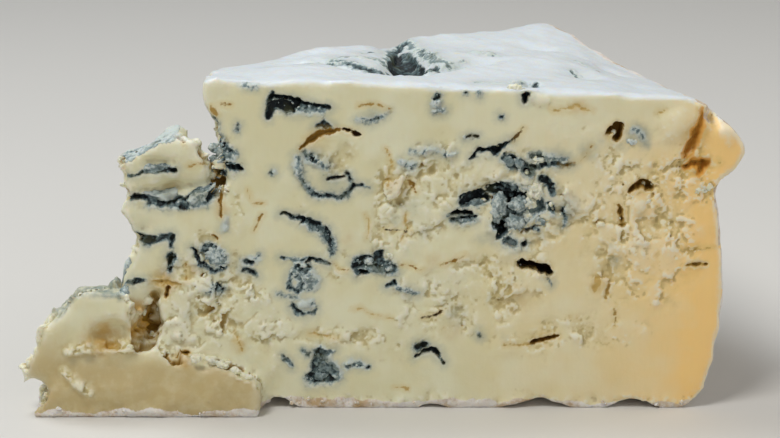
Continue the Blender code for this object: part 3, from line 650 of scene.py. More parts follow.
class Skin:  # the skin's points, in mm from the wheel's axis, and the marks that they carry
    def __init__(self, places, normals):
        self.places, self.normals = places, normals
        self.along, self.back, self.up = places.T
        self.radius = np.hypot(self.along, self.back)
        self.nearSide = soft(0.3, 0.7, -normals[:, 1]) * (self.back < 5)
        self.farSide = soft(0.3, 0.7, normals @ farNormal) * (self.back > 1)
        self.cutSides = np.maximum(self.nearSide, self.farSide)
        self.topSide = soft(0.35, 0.8, normals[:, 2]) * within("top, up", self.up)
        lip = (self.radius > 143) & (self.cutSides > 0.1)
        self.topSide *= np.where(lip, soft(0.80, 0.97, normals[:, 2]), 1)
        self.overFloor = soft(0.15, 1.6, self.up)

        warp, fine = body["warp"], body["fineWarp"]
        self.ragX = grain(places, 2.6, 3) * warp + grain(places, 0.9, 2, 7.7) * fine
        self.ragY = grain(places, 2.6, 3, 3.3) * warp + grain(places, 0.9, 2, 11.1) * fine
        self.broad = grain(places, 13, 2, 1.7)
        self.ragged = fine * grain(places, 1.7, 3, 5.9)

        # mm from the edge of the nearest mark, and that mark's tone
        count = len(places)
        self.edge, self.crackEdge, self.topEdge = (np.full(count, 9.0) for _ in range(3))
        self.tone, self.crackTone, self.topTone = (np.ones(count) for _ in range(3))
        self.push, self.topPush = np.zeros(count), np.zeros(count)
        self.stain, self.crumb, self.amber, self.pale = (np.zeros(count) for _ in range(4))

    def wandered(self, side):  # along and up, as ragged as the veins' edges are
        return self.along[side] + self.ragX[side], self.up[side] + self.ragY[side]

    def atLeast(self, name, side, values):
        held = getattr(self, name)
        held[side] = np.maximum(held[side], values)

    def lay(self, side, marks, along, up, fields=("edge", "tone", "push"), wall=body["wall"]):
        # adds brush strokes to the fields of these names
        edge, tone, push = (getattr(self, name)[side] for name in fields)
        ragged = self.ragged[side]
        for mark in marks:
            path = mark["path"]
            low = [min(p[i] for p in path) - 7 for i in (0, 1)]
            high = [max(p[i] for p in path) + 7 for i in (0, 1)]
            near = (along > low[0]) & (along < high[0]) & (up > low[1]) & (up < high[1])
            if not near.any():
                continue
            gap = strokeGap(along[near], up[near], path) + ragged[near]
            steep = mark.get("wall", wall)
            sunk = mark["depth"] * min(1, body["sink"] + mark["depth"] / 6) * soft(0.12, -steep, gap)
            push[near] = np.maximum(push[near], sunk)
            held = edge[near]
            # a darker stroke wins where two meet
            closer = (gap < held - 0.15) & (held > 0) | (gap < 0) & (held > 0)
            closer |= (gap < 0) & (mark["tone"] < tone[near])
            tone[near] = np.where(closer, mark["tone"], tone[near])
            edge[near] = np.minimum(held, gap)
        for name, values in zip(fields, (edge, tone, push)):
            getattr(self, name)[side] = values


crackFields = ("crackEdge", "crackTone", "push")
topFields = ("topEdge", "topTone", "topPush")


def markNearFace(skin):
    side = np.where(skin.nearSide > 0.05)[0]
    along, up = skin.wandered(side)
    skin.lay(side, nearMould, along, up)
    skin.lay(side, nearCracks, along, up, crackFields)
    skin.stain[side] = strongest(stains, along, up, 1.15)
    broken = soft(0.0, 0.5, grain(skin.places[side], 10, 3, 7.2))
    crumb = 0.16 * broken * within("plain paste, radius", skin.radius[side])
    for x, y, halfWidth, halfHeight, strength in crumblyPatches:
        reach = (halfWidth * perPixel, halfHeight * perPixel)
        away = dome(along, up, onFace(x, y), reach, 0) + 0.25 * skin.broad[side]
        crumb = np.maximum(crumb, strength * soft(1.35, 0.4, away))
    skin.crumb[side] = crumb
    for x, y, halfWidth, halfHeight, lean, height in lumps.values():
        reach = (halfWidth * perPixel, halfHeight * perPixel)
        away = dome(along, up, onFace(x, y), reach, lean)
        steepness = 0.5 if height > 0.5 * min(reach) else 1.7
        rise = np.clip(1 - away * away, 0, 1) ** steepness
        skin.push[side] -= height * rise
        on = away < 1
        skin.atLeast("edge", side[on], 0.9 * rise[on])


def markAmberGlow(skin):
    side = np.where((skin.nearSide > 0.05) | (skin.along < 55) & (skin.back < 12))[0]
    along, up = skin.wandered(side)
    skin.amber[side] = strongest(amberPatches, along, up, 1.2)


def markSlab(skin):
    side = np.where((skin.along < 56) & (skin.back < -1.5) & (skin.up < 30))[0]
    along, up = skin.wandered(side)
    for strip in strips:
        gap = strokeGap(along, up, strip["path"])
        mask = soft(0.7, -0.5, gap)
        skin.push[side] -= strip["height"] * mask
        skin.atLeast("crumb", side, mask)
        skin.atLeast("pale", side, mask)


def markFarFace(skin):
    side = np.where(skin.farSide > 0.05)[0]
    along = skin.places[side] @ farAlong + skin.ragX[side]
    up = skin.up[side] + skin.ragY[side]
    skin.lay(side, farMould, along, up)
    skin.lay(side, farCracks, along, up, crackFields)
    skin.atLeast("crumb", side, 0.9 * soft(-0.15, 0.3, grain(skin.places[side], 21, 2, 4.1)))
    skin.atLeast("stain", side, 0.5 * soft(0.2, 0.5, grain(skin.places[side], 9, 2, 8.8)))


def markBrokenEnd(skin):
    # crumbly all over, its flat cut parts less so
    along, up, level = skin.along, skin.up, skin.normals[:, 2]
    uncut = soft(0.1, 0.4, 1 - skin.nearSide - skin.farSide)
    skin.broken = within("broken end, along", along) * uncut * within("broken end, up", up)
    skin.broken *= soft(-0.9, -0.6, level)
    skin.crumb = np.maximum(skin.crumb, 0.85 * skin.broken)

    # mould coats what points up: the stack's top and the crag; the ledge takes the grey-green film colour
    facingUp = soft(0.25, 0.6, level)
    coat = facingUp * within("stack's top, along", along) * within("stack's top, up", up)
    crag = facingUp * within("crag, along", along) * within("crag, from the left", along)
    crag = crag * within("crag, up", up) * within("crag, below", up)
    skin.coated = np.maximum(coat, crag) > 0.45 + 0.35 * skin.broad
    skin.edge[skin.coated] = -1.1
    shade = np.where(up > 42, 0.98, 0.7) + 0.2 * skin.broad
    skin.tone[skin.coated] = shade[skin.coated]
    skin.ledge = within("ledge, along", along) * within("ledge, up", up)
    skin.stain = np.maximum(skin.stain, 1.1 * facingUp * skin.ledge)


def markTop(skin):
    side = np.where(skin.topSide > 0.05)[0]
    along, back = skin.along[side] + skin.ragX[side], skin.back[side] + 1.6 * skin.ragY[side]
    skin.lay(side, topStrokes, along, back, topFields, body["topWall"])


def breakUp(skin):  # the torn flakes and crumbs of the paste
    places, sizes = skin.places, curd["sizes"]
    rag = np.stack([skin.ragX, skin.ragY, skin.ragX - skin.ragY], 1)
    clumps, clumpGap = brokenCurd(places + rag * 1.3, sizes["clumps"], 2.6)
    crumbs, crumbGap = brokenCurd(places + rag * 0.8, sizes["crumbs"], 2.2, 5.5)
    specks, speckGap = brokenCurd(places + rag * 0.5, sizes["specks"], 1.8, 9.1)
    patchy = soft(-0.25, 0.3, grain(places, 4.5, 2, 6.6))
    clefts = 0.5 * soft(0.16, 0.0, clumpGap) + 0.5 * soft(0.22, 0.0, crumbGap) * patchy
    clefts += 0.25 * soft(0.3, 0.0, speckGap) * patchy
    layers = curd["layers"] * torn(places + 0.9 * rag, sizes["layers"], 2.6, 2)
    layers += curd["fineLayers"] * torn(places + rag, sizes["fineLayers"], 2.2, 2, 2.9, 0.7)
    small = (curd["crumbs"] * crumbs + curd["specks"] * specks) * (0.2 + 0.8 * patchy)
    skin.curd = curd["level"] + layers + curd["clumps"] * clumps + small - curd["clefts"] * clefts
    skin.crumb *= 0.4 + 0.6 * patchy
    inMould = soft(0.3, -0.4, skin.edge)
    rough = np.clip(skin.crumb + 0.75 * inMould, 0, 1.1) * np.where(skin.coated, 0.3, 1)
    skin.relief = (skin.curd - curd["level"]) * body["crumbRelief"] * rough
    skin.relief += body["waviness"] * skin.broad * (0.5 + 0.5 * skin.crumb)
    skin.relief += 0.10 * grain(places, 1.6, 3, 2.2) * (0.4 + 0.6 * rough)


def growRind(skin):  # a ragged band at the underside, a thin line at the rim
    places, normals, up = skin.places, skin.normals, skin.up
    outward = (normals[:, 0] * skin.along + normals[:, 1] * skin.back) / np.maximum(skin.radius, 1)
    onCut = soft(0.70, 0.84, outward + 0.06 * skin.ragX)
    facingOut = np.where(skin.cutSides > 0.1, onCut, soft(0.12, 0.40, outward))
    bandTop = body["rindDepth"] + 1.5 * grain(places, 5.2, 4, 6.1)
    rind = soft(0.8, -0.5, up - bandTop)
    rind = np.maximum(rind, facingOut * within("rim, radius", skin.radius) * (skin.push < 0.5))
    skin.rind = np.maximum(rind, soft(0.5, 0.9, -normals[:, 2]) * soft(3, 1, up))

    lowRag = within("ragged foot, up", up) * skin.overFloor * skin.cutSides
    skin.relief += lowRag * (0.9 * (skin.curd - 0.5) + 0.5 * grain(places, 1.7, 3, 9.3))
    rimSide = np.clip(1 - skin.cutSides - skin.topSide, 0, 1) * within("rim, along", skin.along)
    dents = 0.35 * soft(0.15, 0.5, grain(places, 3.1, 3, 5.2))
    skin.relief += rimSide * (0.5 * grain(places, 5.5, 4, 3.9) - dents)
    skin.relief += 0.22 * rimSide * grain(places, 1.7, 3, 7.4)


def shapeTop(skin):  # knife drag lines near the cut edge, plates further back
    drag = grain(skin.places * np.array([0.16, 1.0, 1.0]), 0.9, 2, 1.1)
    front = within("top, front band, back", skin.back)
    plates = 0.25 * grain(skin.places, 6, 3, 4.4) * (1 - 0.6 * front)
    skin.relief += skin.topSide * (0.13 * drag * (0.4 + front) + plates)
    mouldy = soft(0.3, -0.5, skin.topEdge)
    skin.relief += skin.topSide * mouldy * 0.9 * (skin.curd - 0.55)


def movesOf(skin):  # how far each point goes, mm
    normals, up = skin.normals, skin.up
    shift = normals * (skin.relief * skin.overFloor)[:, None]
    shift[:, 1] += skin.push * skin.nearSide * skin.overFloor
    shift -= farNormal * (skin.push * skin.farSide * skin.overFloor)[:, None]
    shift[:, 2] -= skin.topPush * skin.topSide
    # the ledge is level, not heaped
    onLedge = skin.ledge * within("ledge, below", up)
    level = body["ledge"]["height"] - body["ledge"]["fall"] * (skin.back - slabFront)
    shift[:, 2] -= onLedge * np.maximum(up - level, 0)
    # the rind's lower edge is ragged too, and stays on the floor
    under = up < body["onFloor"]
    shift[under] = 0
    sideways = under & (np.hypot(normals[:, 0], normals[:, 1]) > 0.25)
    nibbled = 1.1 * np.minimum(grain(skin.places, 2.4, 3, 8.1), 0.25) - 0.25
    shift[sideways, :2] = (normals[:, :2] * nibbled[:, None])[sideways]
    shift[:, 2] = np.maximum(shift[:, 2], -up)
    return shift


def wantedEdges(skin):  # how long the edges may be, mm; the last line that fits counts
    near, far, top = skin.nearSide > 0.3, skin.farSide > 0.3, skin.topSide > 0.3
    closest = np.minimum(skin.edge, skin.crackEdge)
    busy = (closest < 0.5) & (closest > -2.2)
    wanted = np.full(len(near), body["edges"]["rest"])
    for where, kind in (
            (top, "top"),
            (far, "far"),
            (near, "face"),
            (near & (skin.crumb > 0.3), "crumbs"),
            (near & busy, "veins"),
            (far & busy, "farVeins"),
            (top & (skin.topEdge < 0.4), "topVeins"),
            (near & (skin.up < 4.5), "crumbs"),
            (skin.broken > 0.3, "crumbs"),
            ((skin.normals[:, 2] < -0.9) & (skin.up < body["onFloor"]), "underside")):
        wanted[where] = body["edges"][kind]
    return wanted


def looksOf(skin):  # what the material reads at each point
    radius, up = skin.radius, skin.up
    # warmer towards the rim, the paste's own tone; the warm colour is also brightened there as painted light
    ripeAndLit = (0.25 * soft(84, 116, radius) + 0.55 * soft(114, 148, radius)) * soft(80, 46, up)
    slab = within("slab, back", skin.back) * within("slab, along", skin.along) * within("slab, up", up)
    return {
        "mouldEdge": np.minimum(skin.edge, skin.topEdge),
        "mouldTone": np.where(skin.topEdge < skin.edge, skin.topTone, skin.tone),
        "crackEdge": skin.crackEdge,
        "crackTone": skin.crackTone,
        "stain": skin.stain,
        "amber": skin.amber,
        "crumb": skin.crumb,
        "curd": skin.curd,
        "rind": np.clip(skin.rind, 0, 1),
        "skin": skin.topSide,
        "warmthAndLight": ripeAndLit + 0.50 * soft(136, 150, radius),
        "foot": slab * (1 - 0.85 * skin.pale),
        "coat": skin.coated.astype(float),
    }


def shapeCheese(places, normals):
    skin = Skin(places, normals)
    for step in (markNearFace, markAmberGlow, markSlab, markFarFace, markBrokenEnd, markTop,
                 breakUp, growRind, shapeTop):
        step(skin)
    skin.relief *= 1 + 0.7 * skin.broken
    return movesOf(skin), wantedEdges(skin), looksOf(skin)


# How shut in each point is, which drives painted shade in recesses: rays from start to reach, in mm, spread
# by the golden angle
shelter = {"rays": 11, "reach": 5.0, "start": 0.2, "turn": 2.399963}
ridgeSpacing = 0.6   # mm


def endsOf(bm):
    return np.array([[line.verts[0].index, line.verts[1].index] for line in bm.edges])


def gathered(ends, values, start):  # start, and what each point's neighbours hold
    total = start.copy()
    for one, other in ((0, 1), (1, 0)):
        np.add.at(total, ends[:, one], values[ends[:, other]])
    return total


def howShutIn(bm):
    tree = BVHTree.FromBMesh(bm)
    rays = []
    for number in range(shelter["rays"]):
        z = 1 - 2 * (number + 0.5) / shelter["rays"]
        turn = number * shelter["turn"]
        flat = math.sqrt(1 - z * z)
        rays.append(Vector((flat * math.cos(turn), flat * math.sin(turn), z)))
    reach = shelter["reach"] * mm
    shut = np.zeros(len(bm.verts))
    for number, vertex in enumerate(bm.verts):
        start = vertex.co + vertex.normal * (shelter["start"] * mm)
        total = 0.0
        for ray in rays:
            distance = tree.ray_cast(start, (vertex.normal * 1.02 + ray).normalized(), reach)[3]
            if distance is not None:
                total += 1 - distance / reach
        shut[number] = total / shelter["rays"]
    # averaged once with its neighbours
    ends, one = endsOf(bm), np.ones(len(shut))
    return gathered(ends, shut, shut) / gathered(ends, one, one)


def neighbourCentres(bm):
    places = np.array([v.co for v in bm.verts])
    ends, one = endsOf(bm), np.ones(len(places))
    return gathered(ends, places, 0 * places) / gathered(ends, one, 0 * one)[:, None]


def howRidged(bm):  # how far each point stands out over its neighbours, mm, as if all were evenly spaced
    places = np.array([v.co for v in bm.verts])
    normals = np.array([v.normal for v in bm.verts])
    ends, one = endsOf(bm), np.ones(len(places))
    number = gathered(ends, one, 0 * one)
    lengths = np.linalg.norm(places[ends[:, 0]] - places[ends[:, 1]], axis=1) / mm
    total = 0 * one
    for end in (0, 1):
        np.add.at(total, ends[:, end], lengths)
    standsOut = ((places - neighbourCentres(bm)) * normals).sum(1) / mm
    return standsOut * np.minimum(1, (ridgeSpacing * number / total) ** 2)


def refine(bm, shift, wanted):
    moved = np.array([v.co for v in bm.verts]) + shift * mm
    long = []
    for line in bm.edges:
        i, j = line.verts[0].index, line.verts[1].index
        gap = moved[i] - moved[j]
        if math.sqrt(gap @ gap) > 1.45 * mm * min(wanted[i], wanted[j]):
            long.append(line)
    bmesh.ops.subdivide_edges(bm, edges=long, cuts=1, use_single_edge=True, use_grid_fill=True)
    bmesh.ops.triangulate(bm, faces=[f for f in bm.faces if len(f.verts) > 3])
    bm.normal_update()
    bm.verts.index_update()
    return len(long)


def makeBody():
    bm = bmesh.new()
    bm.from_mesh(startingSkin())
    bmesh.ops.triangulate(bm, faces=bm.faces)
    bm.normal_update()
    bm.verts.index_update()
    for _ in range(body["refinings"]):
        shift, wanted, _ = shapeCheese(*arrays(bm))
        split = refine(bm, shift, wanted)
        print("  refined", split, "edges,", len(bm.faces), "faces")
    shift, _, looks = shapeCheese(*arrays(bm))
    for vertex, step in zip(bm.verts, shift):
        vertex.co += Vector(step) * mm
    for vertex, centre in zip(bm.verts, neighbourCentres(bm)):
        if vertex.co.z > 0.2 * mm:
            vertex.co += (Vector(centre) - vertex.co) * body["softening"]
    bm.normal_update()
    # how shut in each point is, for painted shade in recesses
    looks["cavity"] = howShutIn(bm)
    # how far each point stands out, for painted highlights on ridges and painted shade in hollows
    looks["ridge"] = howRidged(bm)
    mesh = bpy.data.meshes.new("paste")
    bm.to_mesh(mesh)
    bm.free()
    for name, values in looks.items():
        mesh.attributes.new(name, "FLOAT", "POINT").data.foreach_set("value", values.astype(np.float32))
    mesh.shade_smooth()
    return linked("paste", mesh)


paste = makeBody()
print("body:", len(paste.data.polygons), "triangles")


# Shader sockets as numbers

class Wire:
    def __init__(self, shader, socket):
        self.shader = shader
        self.socket = socket

    def maths(self, operation, *others):
        return self.shader.node("ShaderNodeMath", {"operation": operation}, [self, *others])

    def __add__(self, other):
        return self.maths("ADD", other)

    def __sub__(self, other):
        return self.maths("SUBTRACT", other)

    def __rsub__(self, other):
        return self.shader.node("ShaderNodeMath", {"operation": "SUBTRACT"}, [other, self])

    def __mul__(self, other):
        return self.maths("MULTIPLY", other)

    __radd__ = __add__
    __rmul__ = __mul__

    def ramp(self, low, high, start=0.0, end=1.0):  # smooth step into a new range
        settings = {"interpolation_type": "SMOOTHSTEP"}
        values = {"Value": self, "From Min": low, "From Max": high, "To Min": start, "To Max": end}
        return self.shader.node("ShaderNodeMapRange", settings, values)


class Shader:
    def __init__(self, name):
        self.material = bpy.data.materials.new(name)
        self.material.use_nodes = True
        self.tree = self.material.node_tree
        self.tree.nodes.clear()

    def node(self, kind, settings=None, values=None, out=0):
        made = self.tree.nodes.new(kind)
        for key, value in (settings or {}).items():
            setattr(made, key, value)
        pairs = enumerate(values) if isinstance(values, list) else (values or {}).items()
        for key, value in pairs:
            if isinstance(value, Wire):
                self.tree.links.new(value.socket, made.inputs[key])
            else:
                made.inputs[key].default_value = value
        return Wire(self, made.outputs[out]) if made.outputs else made

    def attribute(self, name):
        return self.node("ShaderNodeAttribute", {"attribute_name": name}, out="Fac")

    def noise(self, size, detail=3.0, roughness=0.55, stretch=(1, 1, 1), shift=0.0):  # size in mm
        where = self.node("ShaderNodeTexCoord", out="Object")
        scaled = self.node("ShaderNodeMapping", values={
            "Vector": where, "Location": (shift, shift, shift), "Scale": stretch})
        return self.node("ShaderNodeTexNoise", values={
            "Vector": scaled, "Scale": 1 / (size * mm), "Detail": detail, "Roughness": roughness})

    def mix(self, factor, first, second):
        made = self.tree.nodes.new("ShaderNodeMix")
        made.data_type = "RGBA"
        for key, value in ((0, factor), (6, first), (7, second)):
            if isinstance(value, Wire):
                self.tree.links.new(value.socket, made.inputs[key])
            else:
                made.inputs[key].default_value = value if key == 0 else (*value, 1)
        return Wire(self, made.outputs[2])

    def bump(self, height, distance, strength=1.0):
        return self.node("ShaderNodeBump", values={
            "Strength": strength, "Distance": distance * mm, "Height": height})

    def finish(self, colour, roughness, normal=None, **fixed):
        values = {"Base Color": colour, "Roughness": roughness, **fixed}
        if normal is not None:
            values["Normal"] = normal
        surface = self.node("ShaderNodeBsdfPrincipled", {"subsurface_method": "RANDOM_WALK"}, values)
        self.node("ShaderNodeOutputMaterial", values={"Surface": surface})
        return self.material


def fromScreen(*screen):  # red, green and blue, 0-255 -> linear
    return tuple(c / 255 / 12.92 if c < 10 else ((c / 255 + 0.055) / 1.055) ** 2.4 for c in screen)


colours = {
    "ivory": fromScreen(224, 221, 189),
    "ivoryDeep": fromScreen(219, 213, 174),
    "curdWhite": fromScreen(234, 231, 212),
    # painted shade: the ochre that recesses turn
    "cavity": fromScreen(166, 128, 36),
    "amber": fromScreen(186, 142, 46),
    "warmLitCream": fromScreen(246, 206, 132),
    "footShadedCream": fromScreen(182, 160, 108),
    "shadeCream": fromScreen(206, 190, 128),
    # painted shade in clefts and hollows
    "cleftShade": fromScreen(158, 132, 62),
    "topCoolLitWhite": fromScreen(214, 223, 231),
    "topTan": fromScreen(216, 214, 208),
    "rindWhite": fromScreen(232, 228, 222),
    "rindPink": fromScreen(214, 198, 178),
    "rindTan": fromScreen(192, 164, 124),
    "rindGrey": fromScreen(146, 138, 130),
    "halo": fromScreen(152, 160, 150),
    "film": fromScreen(134, 144, 134),
    "mouldBlack": fromScreen(18, 27, 30),
    "mouldTeal": fromScreen(64, 82, 84),
    "mouldGrey": fromScreen(122, 138, 138),
    "mouldPale": fromScreen(196, 205, 200),
    "mouldOlive": fromScreen(78, 80, 44),
    "ochreBlackShade": fromScreen(30, 19, 3),
    "ochreDeepShade": fromScreen(112, 66, 8),
    "ochreBrown": fromScreen(140, 102, 22),
    "ochreGold": fromScreen(190, 156, 78),
    "ochreOrangeGlow": fromScreen(220, 154, 46),
    "ochreGlow": fromScreen(206, 178, 104),
}


def barePaste(s):  # ivory, warmer towards the rim and brighter there as painted light, with white crumbs, crumb tops and ridges lighter as painted highlight, clefts and recesses darker as painted shade, and amber hollows with a painted glow
    colour = s.mix(s.big.ramp(0.35, 0.65), colours["ivory"], colours["ivoryDeep"])
    # warmer towards the rim, and brighter there as painted light
    colour = s.mix(s.attribute("warmthAndLight") * s.big.ramp(0.2, 0.7, 0.75, 1.1), colour, colours["warmLitCream"])
    streaks = s.noise(0.8, 3, stretch=(1, 1, 0.12), shift=4.4)
    colour = s.mix(streaks.ramp(0.42, 0.66) * s.mid * 0.08, colour, colours["shadeCream"])
    # crumb tops whiter, partly the curd's own white and partly painted highlight; low curd darker and olive
    # as painted shade
    colour = s.mix(s.crumb * s.curd.ramp(0.6, 0.95) * 0.5, colour, colours["curdWhite"])
    colour = s.mix(s.crumb * s.curd.ramp(0.66, 0.25) * 0.6, colour, colours["shadeCream"])
    colour = s.mix(s.crumb * (s.curd + s.fine * 0.4).ramp(0.62, 0.3) * 0.4, colour, colours["cleftShade"])
    # painted highlight on convex crumb edges, painted shade in concave ones
    crestShading = s.ridge + (s.fine - 0.5) * 0.03
    colour = s.mix(crestShading.ramp(0.005, 0.07) * 0.6, colour, colours["curdWhite"])
    colour = s.mix(crestShading.ramp(-0.01, -0.08) * 0.35, colour, colours["cleftShade"])
    # the slab's own warmer tone, darkened as painted shade
    colour = s.mix(s.attribute("foot") * s.mid.ramp(0.3, 0.6, 0.72, 0.88), colour, colours["footShadedCream"])
    # painted shade: recesses turn a darker ochre by how shut in they are
    colour = s.mix(s.cavity.ramp(0.13, 0.50) * 0.85, colour, colours["cavity"])
    # painted glow and painted shade of the amber hollows, stronger where shut in
    amber = s.attribute("amber") * (s.mid + s.cavity).ramp(0.3, 0.7, 0.35, 1.0)
    colour = s.mix(amber, colour, colours["amber"])
    return s.mix(s.attribute("stain") * s.mid.ramp(0.3, 0.7, 0.4, 1.2) * 0.8, colour, colours["film"])


def mouldOver(s, colour):  # a soft halo, then the vein itself, from black through teal to pale fuzz
    edge = s.attribute("mouldEdge")
    tone = s.attribute("mouldTone")
    halo = (edge + s.wander * 1.1).ramp(s.skin * 2.4 + 2.4, -0.3) * tone.ramp(0, 1, 0.5, 0.38)
    colour = s.mix(halo * (1 - s.skin * 0.4), colour, colours["halo"])
    grains = s.node("ShaderNodeTexVoronoi", values={
        "Vector": s.node("ShaderNodeTexCoord", out="Object"), "Scale": 1 / (1.1 * mm)}, out="Color")
    border = (edge + s.wander * 0.9).ramp(-0.7, 0.2) * tone.ramp(0.0, 0.05, 0.4, 1.0) * 0.5
    speckle = (s.mid - 0.5) * 0.9 + (s.fine - 0.5) * 0.9 + (grains - 0.5) * 0.3
    shade = tone * 0.9 + 0.1 + border + speckle * (1 - s.attribute("coat") * 0.6 - s.skin * 0.4)
    # painted highlight on raised crumbs and ridges, painted shade in recesses
    shade = shade + (s.curd - 0.6) * 0.6 - s.cavity * tone.ramp(0.1, 0.5, 0.2, 0.7) + s.ridge * 1.4
    mould = s.mix(shade.ramp(-0.05, 0.25), colours["mouldBlack"], colours["mouldTeal"])
    mould = s.mix(shade.ramp(0.20, 0.60), mould, colours["mouldGrey"])
    mould = s.mix(shade.ramp(0.62, 1.05), mould, colours["mouldPale"])
    mould = s.mix(s.noise(5, 2, shift=5.5).ramp(0.52, 0.68) * 0.45, mould, colours["mouldOlive"])
    fuzz = tone.ramp(0.0, 0.3, 0.35, 1.0)   # holes have crisp edges, pale mould a fuzzy one
    vein = (edge + s.wander * fuzz * 1.5).ramp(fuzz * 0.95, fuzz * -0.35)
    return s.mix(vein, colour, mould), vein


def cracksOver(s, colour):  # cracks and bare holes, olive brown to orange, near black as painted shade in deep holes and orange as a painted glow
    gap = s.attribute("crackEdge")
    tone = s.attribute("crackTone")
    hue = tone + (s.mid - 0.5) * 0.3
    glow = (gap + s.wander * 0.6).ramp(1.3, 0.0) * 0.35
    colour = s.mix(glow, colour, colours["ochreGlow"])
    # painted shade: deep holes near black
    ochre = s.mix(hue.ramp(0.0, 0.4), colours["ochreBlackShade"], colours["ochreBrown"])
    ochre = s.mix(hue.ramp(0.40, 0.90), ochre, colours["ochreGold"])
    # painted glow: the orange of the lip's crack and hole
    ochre = s.mix(tone.ramp(0.88, 0.98), ochre, colours["ochreOrangeGlow"])
    # painted shade: darker deep inside the holes
    ochre = s.mix(s.cavity.ramp(0.40, 0.85) * 0.6, ochre, colours["ochreDeepShade"])
    crack = (gap + s.wander * 0.75).ramp(0.16, -0.16)
    return s.mix(crack * hue.ramp(1.0, 0.5, 0.6, 1.0), colour, ochre), crack


def rindOver(s, colour):  # pinkish tan and grey under a cloudy white bloom
    rind = s.attribute("rind")
    tint = s.mix(s.big.ramp(0.36, 0.64), colours["rindPink"], colours["rindTan"])
    tint = s.mix(s.noise(4.5, 4, shift=9.1).ramp(0.52, 0.68) * 0.55, tint, colours["rindGrey"])
    bloom = (s.noise(8, 6, 0.68, shift=6.2) + (s.fine - 0.5) * 0.2).ramp(0.38, 0.56) * 0.85
    tint = s.mix(bloom, tint, colours["rindWhite"])
    return s.mix((rind + (s.fine - 0.5) * 0.5).ramp(0.35, 0.65), colour, tint), rind


def pasteMaterial():
    s = Shader("cheese paste")
    s.fine = s.noise(0.7, 4)
    s.mid = s.noise(2.4, 4, shift=3.1)
    s.big = s.noise(11, 3, shift=1.3)
    s.wander = (s.fine - 0.5) * 0.9 + (s.mid - 0.5) * 0.7
    s.crumb = s.attribute("crumb")
    s.curd = s.attribute("curd") + (s.fine - 0.5) * 0.35
    s.cavity = s.attribute("cavity")
    s.ridge = s.attribute("ridge")
    s.skin = s.attribute("skin")

    # the top's smeared white, partly tinted blue as painted cool light
    topColour = s.mix(s.mid.ramp(0.35, 0.7) * 0.5, colours["topCoolLitWhite"], colours["topTan"])
    colour = s.mix(s.skin * 0.9, barePaste(s), topColour)
    colour, vein = mouldOver(s, colour)
    colour, crack = cracksOver(s, colour)
    colour, rind = rindOver(s, colour)

    roughness = s.fine.ramp(0.3, 0.7, 0.40, 0.58) + vein * 0.3 + crack * 0.25 + rind * 0.25 - s.skin * 0.10
    lump = s.fine * 0.5 + s.noise(0.28, 3, shift=2.2) * 0.25 + s.mid * 0.6
    relief = s.bump(lump * (0.25 + s.crumb * 0.75 + vein * 0.9 + rind * 0.6), 0.35, 0.85)
    return s.finish(colour, roughness, relief, **{
        "Subsurface Weight": 0.22, "Subsurface Radius": (1.0, 0.62, 0.30), "Subsurface Scale": 0.0022,
        "Specular IOR Level": 0.45})


paste.data.materials.append(pasteMaterial())
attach(paste, "root")
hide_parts("cheese_wedge")
print("paste finished")


# Loose crumbs, scattered over the body by one Geometry Nodes tree

